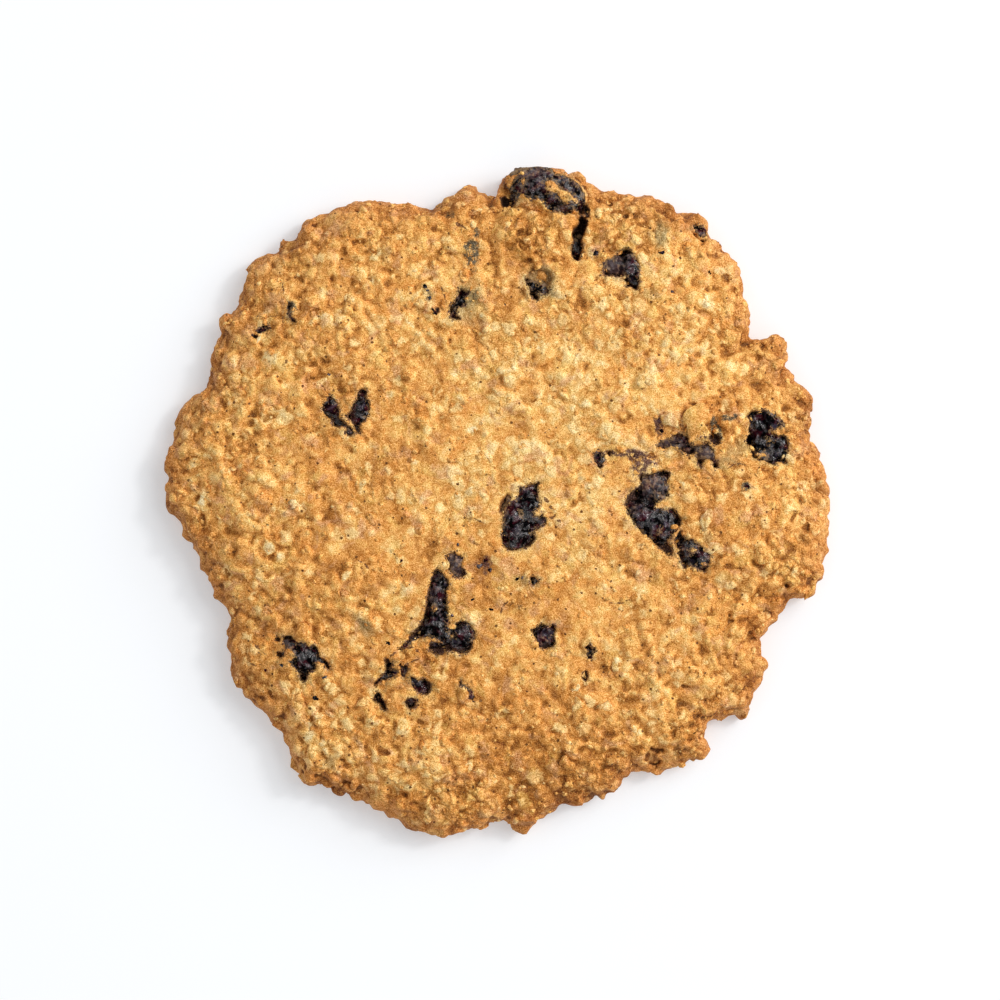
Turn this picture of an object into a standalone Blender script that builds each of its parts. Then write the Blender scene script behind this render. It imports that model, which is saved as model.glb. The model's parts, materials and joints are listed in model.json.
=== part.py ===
"""Cranberry butter biscuit: one flat baked round of oat dough with dried cranberries set in its face.

Metres, +Z up. The biscuit lies on its baked underside, and the origin is on that
underside, in the middle of the biscuit's footprint.
"""

import math

import bmesh
import bpy
from mathutils import Matrix, Vector, noise

MM = 0.001

# The dough. It is widest at its belly, a little above the surface that it lies on.
CROWN_HEIGHT = 8.8 * MM
BELLY_HEIGHT = 2.2 * MM
CROWN_SLOPE = 0.14  # share of the height lost between the middle and the rim
SHOULDER = 6  # the higher, the tighter the round from the top face to the side
FOOT_INSET = 1.4 * MM  # how far the underside's edge lies inside the belly
MEAN_RADIUS = 50 * MM

# The mesh of the dough: rings from the belly up to the crown, and down to the foot.
CROWN_RINGS = 10
FOOT_RINGS = 2
MERIDIAN_STEP = 5.7  # the most degrees between two meridians

# The craggy rim: (degrees, millimetres from the middle) of its lobes and notches,
# counted anticlockwise from +X.
RIM = (
    (0, 50.0), (12, 48.0), (17.5, 49.8), (25, 47.9), (29.5, 49.9), (33, 45.2), (37.5, 47.8),
    (44, 50.2), (54, 52.6), (64, 51.4), (72, 49.8), (80, 51.1), (88.5, 49.0),
    (90.5, 45.8), (95, 47.7), (103, 45.8), (110, 48.6), (116, 50.4), (124, 51.2), (131, 50.2),
    (136, 52.0), (143, 49.0), (146, 49.6), (149, 48.3), (152, 48.9), (157.5, 47.3), (165, 50.0),
    (179, 50.1), (189, 46.0), (197, 45.0), (203, 43.5), (208, 46.2), (217, 47.8), (225, 47.2),
    (235.5, 51.0), (243, 48.9), (254, 50.5), (261, 51.0), (269.5, 47.9), (275, 48.9),
    (282, 46.4), (286, 47.4), (288, 46.4), (291, 47.2), (296, 45.0), (304, 48.3), (309, 48.8),
    (314, 46.0), (320, 49.0), (326.5, 48.0), (332.5, 44.0), (336.5, 45.4), (341, 44.3),
    (343.5, 49.4), (347.5, 50.3), (353, 49.6),
)

# Swells and hollows of the top face: (x, y, reach, height), all in millimetres.
SWELLS = (
    (16, 14, 20, 0.6),  # the fullest part, right of the middle
    (-10, -39, 8, 0.5),  # the ridge along the front rim
    (3, -35, 8, -0.8),  # the trough behind that ridge
    (-14, -31, 7, -0.4),
    (-31, 2, 14, 0.3),
    (6, 41, 4.5, 0.7),  # the raised chunk of crust in front of the cranberry on the back rim
    (40, 16, 6, -0.4),
)

# The lumps that the oats raise. The middle of the face has baked smooth.
LUMP_SPACING = 4.2 * MM
LUMP_HEIGHT = 0.8 * MM

# The crack that the cranberry near the back rim lies in: its ends, width and depth.
CRACK_ENDS = ((13.2, 44.4), (11.9, 36.4))
CRACK_WIDTH, CRACK_DEPTH = 1.7 * MM, 4.4 * MM

# The cranberries. A dried cranberry is one to four lobes grown together, and a lobe is
# (x, y, length, width, thickness, turn in degrees, how far its top stands above the face),
# in millimetres from the middle of the biscuit.
CRANBERRIES = {
    "cranberry_back_rim": ((7.2, 46.8, 12.2, 7.0, 5.8, -12, 1.7),),
    "cranberry_crack": ((11.9, 38.0, 4.6, 2.7, 3.2, 84, -1.8),),
    "cranberry_back_right": (
        (20.0, 34.7, 6.8, 3.4, 4.2, -72, 0.2), (17.0, 35.8, 4.8, 3.0, 3.4, -8, 0.0),
    ),
    "cranberry_crater": ((5.9, 32.0, 4.6, 2.7, 3.0, -25, -0.6),),
    "cranberry_back": ((-5.3, 29.6, 5.0, 3.3, 3.4, 72, 0.0),),
    "cranberry_forked": (
        (-20.5, 13.5, 7.0, 3.1, 3.2, 82, 0.1), (-24.6, 13.9, 4.8, 3.0, 2.8, 105, 0.0),
        (-22.9, 11.4, 5.4, 2.6, 3.0, -42, 0.0),
    ),
    "cranberry_right": (
        (40.5, 8.2, 7.0, 5.6, 4.6, -30, 0.2), (39.8, 12.2, 6.6, 4.4, 4.0, -28, 0.1),
    ),
    "cranberry_arched": (
        (26.4, 9.2, 7.2, 2.8, 3.2, -6, 0.0), (21.2, 8.2, 6.6, 2.4, 3.0, 18, -0.2),
        (31.0, 7.6, 6.0, 3.0, 3.2, -40, 0.1),
    ),
    "cranberry_middle": (
        (3.1, -1.9, 10.8, 5.8, 5.4, 73, 0.6), (6.0, -2.4, 3.8, 3.0, 3.2, 0, 0.1),
    ),
    "cranberry_large": (
        (23.2, 2.2, 6.2, 5.4, 4.8, 80, 0.3), (23.0, -2.7, 9.2, 5.9, 5.0, -28, 0.5),
    ),
    "cranberry_beside_large": ((29.4, -7.4, 6.2, 4.3, 4.0, -50, 0.2),),
    "cranberry_bent": (
        (-8.9, -18.4, 6.8, 5.0, 4.4, 80, 0.4), (-8.8, -13.4, 7.2, 3.8, 4.0, 86, 0.2),
        (-5.3, -19.6, 5.0, 4.0, 4.0, 60, 0.3), (-12.4, -21.2, 6.0, 2.4, 2.8, 22, 0.0),
    ),
    "cranberry_veiled": ((-6.3, -9.0, 4.0, 3.2, 3.0, 80, 0.0),),
    "cranberry_crumbed": ((-14.4, -27.0, 8.2, 7.2, 4.2, 20, 0.0),),
    "cranberry_left": ((-29.0, -23.0, 8.0, 5.4, 4.4, -42, 0.1),),
    "cranberry_front": ((6.9, -19.6, 3.8, 3.4, 3.0, 80, 0.0),),
    "cranberry_bit_back": ((30.2, 40.7, 2.6, 2.0, 2.0, -45, 0.1),),
    "cranberry_bit_left_rim": ((-35.2, 25.7, 2.8, 1.8, 2.0, 20, 0.0),),
    "cranberry_bit_left": ((-30.6, 28.6, 2.6, 1.8, 2.0, 80, 0.0),),
    "cranberry_bit_right": ((14.9, 6.7, 2.6, 1.9, 2.0, -60, 0.0),),
    "cranberry_bit_middle": ((5.4, -11.5, 2.8, 1.9, 2.0, 0, -0.3),),
    "cranberry_bit_front": ((13.9, -22.0, 2.5, 1.9, 2.0, 80, -0.1),),
    "cranberry_sliver": ((-4.6, -27.8, 3.6, 1.7, 2.0, -60, 0.0),),
}
LARGE_FROM = 10.0 * MM  # the length from which a lobe gets the finer mesh
DENT = 0.24  # share by which the dents of a lobe pull its skin in or out
POCKET_GAP = 0.35 * MM  # space between a cranberry and the dough round it
POCKET_OPENING = 2.2 * MM  # how far the upper half of a pocket is raised, to open it
POCKET_FLARE = 1.15  # how much wider the raised half is

DOUGH_COLOUR = (0.60, 0.33, 0.12)
CRANBERRY_COLOUR = (0.035, 0.010, 0.014)


def clear_scene():
    for obj in list(bpy.data.objects):
        bpy.data.objects.remove(obj)


def collection_named(name):
    collection = bpy.data.collections.new(name)
    bpy.context.scene.collection.children.link(collection)
    return collection


def material_named(name, colour, roughness):
    material = bpy.data.materials.new(name)
    material.use_nodes = True
    surface = material.node_tree.nodes["Principled BSDF"]
    surface.inputs["Base Color"].default_value = (*colour, 1.0)
    surface.inputs["Roughness"].default_value = roughness
    surface.inputs["Metallic"].default_value = 0.0
    return material


def object_from(bm, name, collection, material=None):
    mesh = bpy.data.meshes.new(name)
    bm.to_mesh(mesh)
    bm.free()
    mesh.shade_smooth()
    if material is not None:
        mesh.materials.append(material)
    obj = bpy.data.objects.new(name, mesh)
    collection.objects.link(obj)
    return obj


def spans():
    """Each stretch of the rim: where it starts, how wide it is, and the radii at its ends."""
    for (start, low), (end, high) in zip(RIM, RIM[1:] + RIM[:1]):
        yield start, (end - start) % 360, low, high


def rim_radius(degrees):
    """The belly's distance from the middle, level at each lobe and notch and eased between."""
    for start, width, low, high in spans():
        share = ((degrees - start) % 360) / width
        if share <= 1:
            break
    return (low + (high - low) * share * share * (3 - 2 * share)) * MM


def meridian_angles():
    """Meridians on each lobe and notch of the rim, and at least one between two of them."""
    angles = []
    for start, width, _, _ in spans():
        steps = max(2, math.ceil(width / MERIDIAN_STEP))
        angles += [start + width * step / steps for step in range(steps)]
    return angles


def face_height(x, y):
    """The height of the dough's face above its underside."""
    from_middle = math.hypot(x, y)
    outward = min(from_middle / rim_radius(math.degrees(math.atan2(y, x))), 1.0)
    round_off = math.sqrt(1 - outward**SHOULDER)
    height = CROWN_HEIGHT - BELLY_HEIGHT
    height *= 1 - CROWN_SLOPE * (from_middle / MEAN_RADIUS) ** 2
    for at_x, at_y, reach, swell in SWELLS:
        distance = math.hypot(x / MM - at_x, y / MM - at_y) / reach
        height += swell * MM * math.exp(-(distance**2))
    height += LUMP_HEIGHT * outward**4 * noise.noise(Vector((x, y, 0)) / LUMP_SPACING)
    return BELLY_HEIGHT + height * round_off


def dough_point(latitude, degrees):
    """Where a point of the globe goes: above the equator to the face, below it to the foot."""
    radius = rim_radius(degrees)
    turn = math.radians(degrees)
    outward = Vector((math.cos(turn), math.sin(turn), 0))
    if latitude >= 0:
        point = outward * radius * math.cos(latitude)
        point.z = face_height(point.x, point.y)
        return point
    tuck = latitude * CROWN_RINGS / FOOT_RINGS  # from 0 at the belly to -90 degrees at the foot
    point = outward * (radius - FOOT_INSET * (1 - math.cos(tuck)))
    point.z = BELLY_HEIGHT * (1 + math.sin(tuck))
    return point


def make_dough(collection, material):
    """A globe whose meridians follow the rim, pressed to the biscuit's shape on a flat foot."""
    angles = meridian_angles()
    bm = bmesh.new()
    bmesh.ops.create_uvsphere(
        bm, u_segments=len(angles), v_segments=2 * CROWN_RINGS, radius=1
    )
    ring_step = math.pi / 2 / CROWN_RINGS
    under = []
    for vert in bm.verts:
        ring = round(math.asin(max(-1.0, min(1.0, vert.co.z))) / ring_step)
        if ring < -FOOT_RINGS:
            under.append(vert)
            continue
        turn = math.atan2(vert.co.y, vert.co.x) / math.tau
        meridian = round(turn * len(angles)) % len(angles)
        vert.co = dough_point(ring * ring_step, angles[meridian])
    bmesh.ops.delete(bm, geom=under, context="VERTS")
    foot = [edge for edge in bm.edges if edge.is_boundary]
    bmesh.ops.edgeloop_fill(bm, edges=foot)
    bmesh.ops.recalc_face_normals(bm, faces=bm.faces)
    return object_from(bm, "dough", collection, material)


def lobe_mesh(size, seed):
    """A dented egg of the given length, width and thickness, about its own middle."""
    bm = bmesh.new()
    bmesh.ops.create_icosphere(bm, subdivisions=3 if size[0] >= LARGE_FROM else 2, radius=0.5)
    for vert in bm.verts:
        dent = 1 + DENT * noise.noise(vert.co * 3 + Vector((seed, 2 * seed, 3 * seed)))
        vert.co = Vector(side * along * dent for side, along in zip(size, vert.co))
    return bm


def pocket_mesh(size, seed):
    """The room for a lobe: its shape grown by the gap, with the upper half raised out of the face."""
    bm = lobe_mesh(size, seed)
    bm.normal_update()
    for vert in bm.verts:
        vert.co += vert.normal * POCKET_GAP
    for vert in bm.verts:
        if vert.co.z > 0:
            vert.co.xy *= POCKET_FLARE
            vert.co.z += POCKET_OPENING
    return bm


def join_into(obj, tools, operation):
    """Adds a collection of shapes to an object, or cuts them out of it."""
    modifier = obj.modifiers.new(operation.lower(), "BOOLEAN")
    modifier.operation = operation
    modifier.operand_type = "COLLECTION"
    modifier.collection = tools
    modifier.solver = "EXACT"


def make_cranberry(name, lobes, seed, biscuit, cutters, pockets, material):
    """One cranberry, its further lobes as helpers, and a pocket cutter for each lobe."""
    berry = None
    further = None
    for number, (x, y, length, width, thickness, turn, rise) in enumerate(lobes):
        size = Vector((length, width, thickness)) * MM
        middle = Vector((x, y, rise - thickness / 2)) * MM
        middle.z += face_height(middle.x, middle.y)
        place = Matrix.Translation(middle) @ Matrix.Rotation(math.radians(turn), 4, "Z")
        own = seed + number * 0.37
        pocket = object_from(pocket_mesh(size, own), f"{name}_pocket_{number}", pockets)
        pocket.matrix_world = place
        if berry is None:
            berry = object_from(lobe_mesh(size, own), name, biscuit, material)
            berry.matrix_world = place
            continue
        if further is None:
            further = bpy.data.collections.new(f"{name}_lobes")
            cutters.children.link(further)
        lobe = object_from(lobe_mesh(size, own), f"{name}_lobe_{number}", further)
        lobe.matrix_world = place
    if further is not None:
        join_into(berry, further, "UNION")
    return berry


def make_crack(pockets):
    """A blade that stands in the crack with its thin edge down."""
    start, end = (Vector((x, y, 0)) * MM for x, y in CRACK_ENDS)
    middle, along = (start + end) / 2, end - start
    size = Vector((along.length, CRACK_WIDTH, 2 * CRACK_DEPTH))
    bm = bmesh.new()
    bmesh.ops.create_cone(bm, cap_ends=True, segments=10, radius1=0.2, radius2=0.5, depth=1)
    bmesh.ops.scale(bm, vec=size, verts=bm.verts)
    crack = object_from(bm, "crack", pockets)
    middle.z = face_height(middle.x, middle.y)
    turn = Matrix.Rotation(math.atan2(along.y, along.x), 4, "Z")
    crack.matrix_world = Matrix.Translation(middle) @ turn


def centre_on_origin(solids, helpers):
    """Moves everything level until the middle of the solids' box is over the origin."""
    points = [obj.matrix_world @ vert.co for obj in solids for vert in obj.data.vertices]
    low = Vector(min(point[axis] for point in points) for axis in range(3))
    high = Vector(max(point[axis] for point in points) for axis in range(3))
    middle = (low + high) / 2
    middle.z = 0
    for obj in [*solids, *helpers]:
        obj.matrix_world = Matrix.Translation(-middle) @ obj.matrix_world


def main():
    clear_scene()
    biscuit = collection_named("cranberry_butter_biscuit")
    cutters = collection_named("cutters")
    pockets = bpy.data.collections.new("pockets")
    cutters.children.link(pockets)

    dough = make_dough(biscuit, material_named("baked_dough", DOUGH_COLOUR, 0.8))
    skin = material_named("dried_cranberry", CRANBERRY_COLOUR, 0.35)
    for seed, (name, lobes) in enumerate(CRANBERRIES.items(), start=1):
        make_cranberry(name, lobes, seed, biscuit, cutters, pockets, skin)
    make_crack(pockets)

    helpers = list(cutters.all_objects)
    bpy.context.view_layer.update()
    centre_on_origin(list(biscuit.objects), helpers)
    join_into(dough, pockets, "DIFFERENCE")
    for helper in helpers:
        helper.hide_render = True
        helper.display_type = "WIRE"


main()
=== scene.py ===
"""Cranberry butter biscuit, finished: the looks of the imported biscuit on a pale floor, in soft light."""

import json
import math

import bpy
import numpy as np
from mathutils import Matrix, Vector, kdtree, noise
from mathutils.bvhtree import BVHTree

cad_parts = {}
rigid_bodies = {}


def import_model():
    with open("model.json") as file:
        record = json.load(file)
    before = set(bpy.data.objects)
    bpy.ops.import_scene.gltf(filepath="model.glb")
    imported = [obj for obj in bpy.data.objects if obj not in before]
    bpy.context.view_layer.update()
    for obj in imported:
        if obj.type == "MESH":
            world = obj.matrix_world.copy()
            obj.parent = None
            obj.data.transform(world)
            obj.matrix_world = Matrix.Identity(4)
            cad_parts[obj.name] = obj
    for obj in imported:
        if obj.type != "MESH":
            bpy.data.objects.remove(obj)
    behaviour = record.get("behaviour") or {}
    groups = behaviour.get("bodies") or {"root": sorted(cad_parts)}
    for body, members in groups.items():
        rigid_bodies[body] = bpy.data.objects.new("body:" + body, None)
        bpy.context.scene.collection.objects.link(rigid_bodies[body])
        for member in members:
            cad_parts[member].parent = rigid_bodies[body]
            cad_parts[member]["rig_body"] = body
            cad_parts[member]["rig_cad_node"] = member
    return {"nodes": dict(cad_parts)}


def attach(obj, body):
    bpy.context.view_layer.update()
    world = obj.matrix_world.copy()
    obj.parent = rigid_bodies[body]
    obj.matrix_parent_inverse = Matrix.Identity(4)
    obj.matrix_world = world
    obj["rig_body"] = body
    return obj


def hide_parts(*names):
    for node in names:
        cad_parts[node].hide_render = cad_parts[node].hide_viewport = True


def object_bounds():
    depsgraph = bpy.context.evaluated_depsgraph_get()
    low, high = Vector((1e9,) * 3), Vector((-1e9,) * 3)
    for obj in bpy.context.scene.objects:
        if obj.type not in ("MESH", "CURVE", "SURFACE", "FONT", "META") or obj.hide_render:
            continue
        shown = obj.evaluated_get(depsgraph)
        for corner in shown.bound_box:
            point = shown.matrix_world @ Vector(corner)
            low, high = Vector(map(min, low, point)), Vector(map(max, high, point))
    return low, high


MM = 0.001

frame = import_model()
cad_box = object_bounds()


# The studio: a white sheet, lit from the right by one large soft box with a small bright lamp
# in its middle. The sheet glows a little, as on a light table, so that shadows on it stay pale.

CAMERA_HEIGHT = 421 * MM
CAMERA_LENS = 100
SOFTBOX_PLACE = Vector((1.50, 0.77, 1.30))
SOFTBOX_SIZE = 1.80
SOFTBOX_POWER = 32.0
LAMP_PLACE = Vector((1.24, 0.60, 1.12))
LAMP_SIZE = 0.26
LAMP_POWER = 6.5
ROOM_LIGHT = 0.52
SHEET_GLOW = 0.27
SHEET_SHADE = 0.76
SHEET_GAP = 0.03 * MM  # the flat underside would flicker on a sheet at its own height

scene = bpy.context.scene
scene.view_settings.view_transform = "Standard"

bpy.ops.object.select_all(action="DESELECT")
bpy.ops.object.camera_add(location=(0.375 * MM, 0.525 * MM, CAMERA_HEIGHT), rotation=(0, 0, 0))
camera = bpy.context.object
camera.name = "camera"
camera.data.lens = CAMERA_LENS
camera.data.sensor_width = 36
camera.data.clip_start = 0.01
scene.camera = camera

bpy.ops.mesh.primitive_plane_add(size=6, location=(0, 0, -SHEET_GAP))
floor = bpy.context.object
floor.name = "floor"
floor_paint = bpy.data.materials.new("white_sheet")
floor_paint.use_nodes = True
floor_shader = floor_paint.node_tree.nodes["Principled BSDF"]
floor_shader.inputs["Base Color"].default_value = (SHEET_SHADE * 0.985, SHEET_SHADE, SHEET_SHADE * 1.02, 1)
floor_shader.inputs["Roughness"].default_value = 0.9
floor_shader.inputs["Specular IOR Level"].default_value = 0.0
floor_shader.inputs["Emission Color"].default_value = (0.985, 1.0, 1.02, 1)
floor_shader.inputs["Emission Strength"].default_value = SHEET_GLOW
floor.data.materials.append(floor_paint)


def add_light(name, place, size, power):
    bpy.ops.object.light_add(type="AREA", location=place)
    light = bpy.context.object
    light.name = name
    light.rotation_euler = (-place).to_track_quat("-Z", "Y").to_euler()
    light.data.size = size
    light.data.energy = power


add_light("softbox", SOFTBOX_PLACE, SOFTBOX_SIZE, SOFTBOX_POWER)
add_light("lamp", LAMP_PLACE, LAMP_SIZE, LAMP_POWER)

room = bpy.data.worlds.new("room")
scene.world = room
room.use_nodes = True
room.node_tree.nodes["Background"].inputs["Color"].default_value = (0.96, 0.98, 1.0, 1)
room.node_tree.nodes["Background"].inputs["Strength"].default_value = ROOM_LIGHT


# The cranberries: dried whole, so their skins are drawn into pillows between sharp creases, near
# black with wine red where light gets in. They were stirred into the dough, and baking fixed them.

BERRY_VOXEL = 0.15 * MM
SWELL_DEPTH = 0.30 * MM
RIDGE_HEIGHT = 0.32 * MM
RIDGE_SPACING = 1.7 * MM
# Where flour dust and crumb film the skins: (x, y, radius, share), in millimetres.
DUSTED = (
    (24.0, 9.0, 4.5, 0.75), (30.5, 7.5, 3.4, 0.75), (21.0, 7.5, 4.0, 0.9), (23.0, 2.6, 3.2, 0.62),
    (20.4, -0.2, 2.4, 0.5), (16.6, 35.2, 3.2, 0.8), (-6.2, -8.8, 3.0, 0.8), (-9.6, -14.5, 2.6, 0.5),
    (-10.2, -10.8, 2.6, 0.35), (5.0, 50.4, 4.0, 0.62), (10.5, 48.2, 3.0, 0.45), (27.6, -6.6, 1.6, 0.5),
    (-31.5, -21.5, 1.6, 0.6), (7.0, -20.2, 1.6, 0.55), (40.2, 7.4, 1.2, 0.5), (5.6, 30.2, 1.2, 0.2),
)


def only(obj):
    """Makes an object the one that the operators work on."""
    bpy.ops.object.select_all(action="DESELECT")
    obj.select_set(True)
    bpy.context.view_layer.objects.active = obj


def apply_modifier(obj, name, kind, **settings):
    modifier = obj.modifiers.new(name, kind)
    for setting, value in settings.items():
        setattr(modifier, setting, value)
    only(obj)
    bpy.ops.object.modifier_apply(modifier=modifier.name)


def merged_copy(node, name):
    """A CAD node's mesh in an object of its own, with its loose triangles merged."""
    piece = frame["nodes"][node].copy()
    piece.data = frame["nodes"][node].data.copy()
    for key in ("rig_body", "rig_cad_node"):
        del piece[key]
    piece.parent = None
    piece.name = piece.data.name = name
    piece.data.materials.clear()
    scene.collection.objects.link(piece)
    only(piece)
    bpy.ops.object.mode_set(mode="EDIT")
    bpy.ops.mesh.select_all(action="SELECT")
    bpy.ops.mesh.remove_doubles(threshold=1e-6)
    bpy.ops.object.mode_set(mode="OBJECT")
    return piece


def points_of(obj):
    points = np.empty(len(obj.data.vertices) * 3, np.float32)
    obj.data.vertices.foreach_get("co", points)
    return points.reshape(-1, 3).astype(float)


def normals_of(obj):
    normals = np.empty(len(obj.data.vertices) * 3, np.float32)
    obj.data.vertex_normals.foreach_get("vector", normals)
    return normals.reshape(-1, 3).astype(float)


def set_points(obj, points):
    obj.data.vertices.foreach_set("co", points.astype(np.float32).ravel())
    obj.data.update()


def set_values(obj, name, values):
    """Gives each point of a mesh a number that its material can read."""
    attribute = obj.data.attributes.new(name, "FLOAT", "POINT")
    attribute.data.foreach_set("value", values.astype(np.float32))


def noise_at(points, spacing, offset=0.0):
    """Smooth noise from about -1 to 1, with features of the given spacing."""
    shift = Vector((offset, offset * 1.7, offset * 2.3))
    return np.array([noise.noise(Vector(point) / spacing + shift) for point in points])


def inside_box(points, room_left=0.02 * MM):
    """Points kept inside the box of the CAD model."""
    low, high = np.array(cad_box[0]), np.array(cad_box[1])
    kept = np.clip(points, low + room_left, high - room_left)
    kept[:, 2] = np.clip(points[:, 2], 0, high[2] - room_left)
    return kept


berries = []
for node in sorted(frame["nodes"]):
    if node == "dough":
        continue
    berry = merged_copy(node, node + "_skin")
    apply_modifier(berry, "even", "REMESH", mode="VOXEL", voxel_size=BERRY_VOXEL, adaptivity=0)
    apply_modifier(berry, "soften", "SMOOTH", factor=0.5, iterations=8)
    points, normals = points_of(berry), normals_of(berry)
    long_way = np.linalg.svd(points[::7] - points.mean(0), full_matrices=False)[2][0]
    drawn_out = points - 0.45 * (points @ long_way)[:, None] * long_way
    bent = drawn_out + 0.4 * MM * np.stack([noise_at(points, 1.3 * MM, k) for k in (2.0, 4.0, 6.0)], axis=1)
    ridges = np.clip(1 - np.abs(noise_at(bent, RIDGE_SPACING, 7.7)) * 5.0, 0, 1)
    small_ridges = np.clip(1 - np.abs(noise_at(bent, RIDGE_SPACING / 2, 1.3)) * 4.0, 0, 1)
    height = SWELL_DEPTH * noise_at(points, 2.4 * MM, 3.1) + RIDGE_HEIGHT * (ridges + 0.5 * small_ridges)
    set_points(berry, inside_box(points + normals * height[:, None]))
    dust = np.full(len(points), 0.12)
    for x, y, radius, share in DUSTED:
        gap = np.hypot(points[:, 0] - x * MM, points[:, 1] - y * MM) / (radius * MM)
        dust = np.maximum(dust, share * np.clip(1.6 - 1.3 * gap, 0, 1))
    set_values(berry, "dust", dust)
    set_values(berry, "ridge", np.maximum(ridges, 0.7 * small_ridges))
    berry.data.shade_smooth()
    berries.append(berry)


def tree(material):
    material.use_nodes = True
    return material.node_tree


def add(nodes, kind, **inputs):
    """A shader node; what is named in inputs is linked if it is a socket, and set if it isn't."""
    made = nodes.nodes.new(kind)
    for name, value in inputs.items():
        if hasattr(made, name) and not isinstance(value, bpy.types.NodeSocket):
            setattr(made, name, value)
            continue
        socket = made.inputs[int(name[1:])] if name[1:].isdigit() else made.inputs[name.replace("_", " ")]
        if isinstance(value, bpy.types.NodeSocket):
            nodes.links.new(value, socket)
        elif isinstance(value, tuple) and len(value) == 3 and socket.type == "RGBA":
            socket.default_value = (*value, 1)
        else:
            socket.default_value = value
    return made


def shown(red, green, blue):
    """A colour given as it shows on a screen, from 0 to 255, in shares from 0 to 1."""
    return (red / 255, green / 255, blue / 255)


def mixed(nodes, share, first, second, blend="MIX"):
    made = nodes.nodes.new("ShaderNodeMix")
    made.data_type = "RGBA"
    made.blend_type = blend
    for socket, value in ((made.inputs[0], share), (made.inputs[6], first), (made.inputs[7], second)):
        if isinstance(value, bpy.types.NodeSocket):
            nodes.links.new(value, socket)
        else:
            socket.default_value = (*value, 1) if isinstance(value, tuple) else value
    return made.outputs[2]


def ranged(nodes, value, low, high, to_low=0.0, to_high=1.0):
    """Value stretched smoothly from one range to another, and kept inside it."""
    made = nodes.nodes.new("ShaderNodeMapRange")
    made.interpolation_type = "SMOOTHSTEP"
    nodes.links.new(value, made.inputs[0])
    for index, number in enumerate((low, high, to_low, to_high), start=1):
        made.inputs[index].default_value = number
    return made.outputs[0]


def maths(nodes, operation, first, second=0.0, third=None):
    made = nodes.nodes.new("ShaderNodeMath")
    made.operation = operation
    for index, value in enumerate((first, second, third)):
        if isinstance(value, bpy.types.NodeSocket):
            nodes.links.new(value, made.inputs[index])
        elif value is not None:
            made.inputs[index].default_value = value
    return made.outputs[0]


def speckle(nodes, place, spacing, detail=2.0, roughness=0.5, distortion=0.0):
    """Noise about as coarse as spacing, in metres."""
    made = nodes.nodes.new("ShaderNodeTexNoise")
    nodes.links.new(place, made.inputs["Vector"])
    made.inputs["Scale"].default_value = 1 / spacing
    made.inputs["Detail"].default_value = detail
    made.inputs["Roughness"].default_value = roughness
    made.inputs["Distortion"].default_value = distortion
    return made.outputs["Fac"]


def warped(nodes, place, spacing, amount):
    """The place pushed about by noise, so that what follows it has uneven edges."""
    warp = nodes.nodes.new("ShaderNodeTexNoise")
    nodes.links.new(place, warp.inputs["Vector"])
    warp.inputs["Scale"].default_value = 1 / spacing
    warp.inputs["Detail"].default_value = 2
    return add(nodes, "ShaderNodeVectorMath", operation="MULTIPLY_ADD", _0=warp.outputs["Color"],
               _1=(amount, amount, amount), _2=place).outputs[0]


def summed(nodes, start, *parts):
    """A start value with several shares added: each part is a socket, its middle and its weight."""
    total = start
    for socket, middle, weight in parts:
        centred = maths(nodes, "SUBTRACT", socket, middle)
        total = maths(nodes, "MULTIPLY_ADD", centred, weight, total)
    return total


def value_of(nodes, name):
    """What set_values gave each point."""
    return add(nodes, "ShaderNodeAttribute", attribute_name=name).outputs["Fac"]


def shown_to_light(nodes, colour):
    """A colour worked out as it shows on a screen, turned into the light that it reflects."""
    kept = add(nodes, "ShaderNodeVectorMath", operation="MAXIMUM", _0=colour, _1=(0.01, 0.01, 0.01)).outputs[0]
    return add(nodes, "ShaderNodeGamma", Color=kept, Gamma=2.2).outputs["Color"]


# Grain is an effect that the biscuit and its flakes share: fine grey mottle, as a colour offset
# and as a height.
grain_group = bpy.data.node_groups.new("grain", "ShaderNodeTree")
grain_group.interface.new_socket("Place", in_out="INPUT", socket_type="NodeSocketVector")
grain_group.interface.new_socket("Strength", in_out="INPUT", socket_type="NodeSocketFloat")
grain_group.interface.new_socket("Offset", in_out="OUTPUT", socket_type="NodeSocketFloat")
grain_group.interface.new_socket("Height", in_out="OUTPUT", socket_type="NodeSocketFloat")
grain_in = grain_group.nodes.new("NodeGroupInput")
grain_out = grain_group.nodes.new("NodeGroupOutput")
sand = speckle(grain_group, grain_in.outputs["Place"], 0.16 * MM, 1, 0.5)
grit = speckle(grain_group, grain_in.outputs["Place"], 0.48 * MM, 2, 0.6)
mottle = summed(grain_group, 0.0, (sand, 0.5, 1.0), (grit, 0.5, 0.12))
offset = maths(grain_group, "MULTIPLY", mottle, grain_in.outputs["Strength"])
grain_group.links.new(offset, grain_out.inputs["Offset"])
grain_group.links.new(summed(grain_group, 0.0, (sand, 0.5, 0.6), (grit, 0.5, 1.0)), grain_out.inputs["Height"])


def grain(nodes, place, strength):
    made = nodes.nodes.new("ShaderNodeGroup")
    made.node_tree = grain_group
    nodes.links.new(place, made.inputs["Place"])
    made.inputs["Strength"].default_value = strength
    return made.outputs["Offset"], made.outputs["Height"]


berry_paint = bpy.data.materials.new("dried_cranberry_skin")
nodes = tree(berry_paint)
skin = nodes.nodes["Principled BSDF"]
place = nodes.nodes.new("ShaderNodeTexCoord").outputs["Object"]
patches = speckle(nodes, place, 1.6 * MM, 3, 0.6)
wine = mixed(nodes, ranged(nodes, patches, 0.47, 0.62), shown(8, 6, 9), shown(60, 21, 29))
lilac = ranged(nodes, speckle(nodes, place, 1.4 * MM, 3, 0.55), 0.54, 0.68, 0, 0.70)
wine = mixed(nodes, lilac, wine, shown(74, 64, 78))
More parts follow.
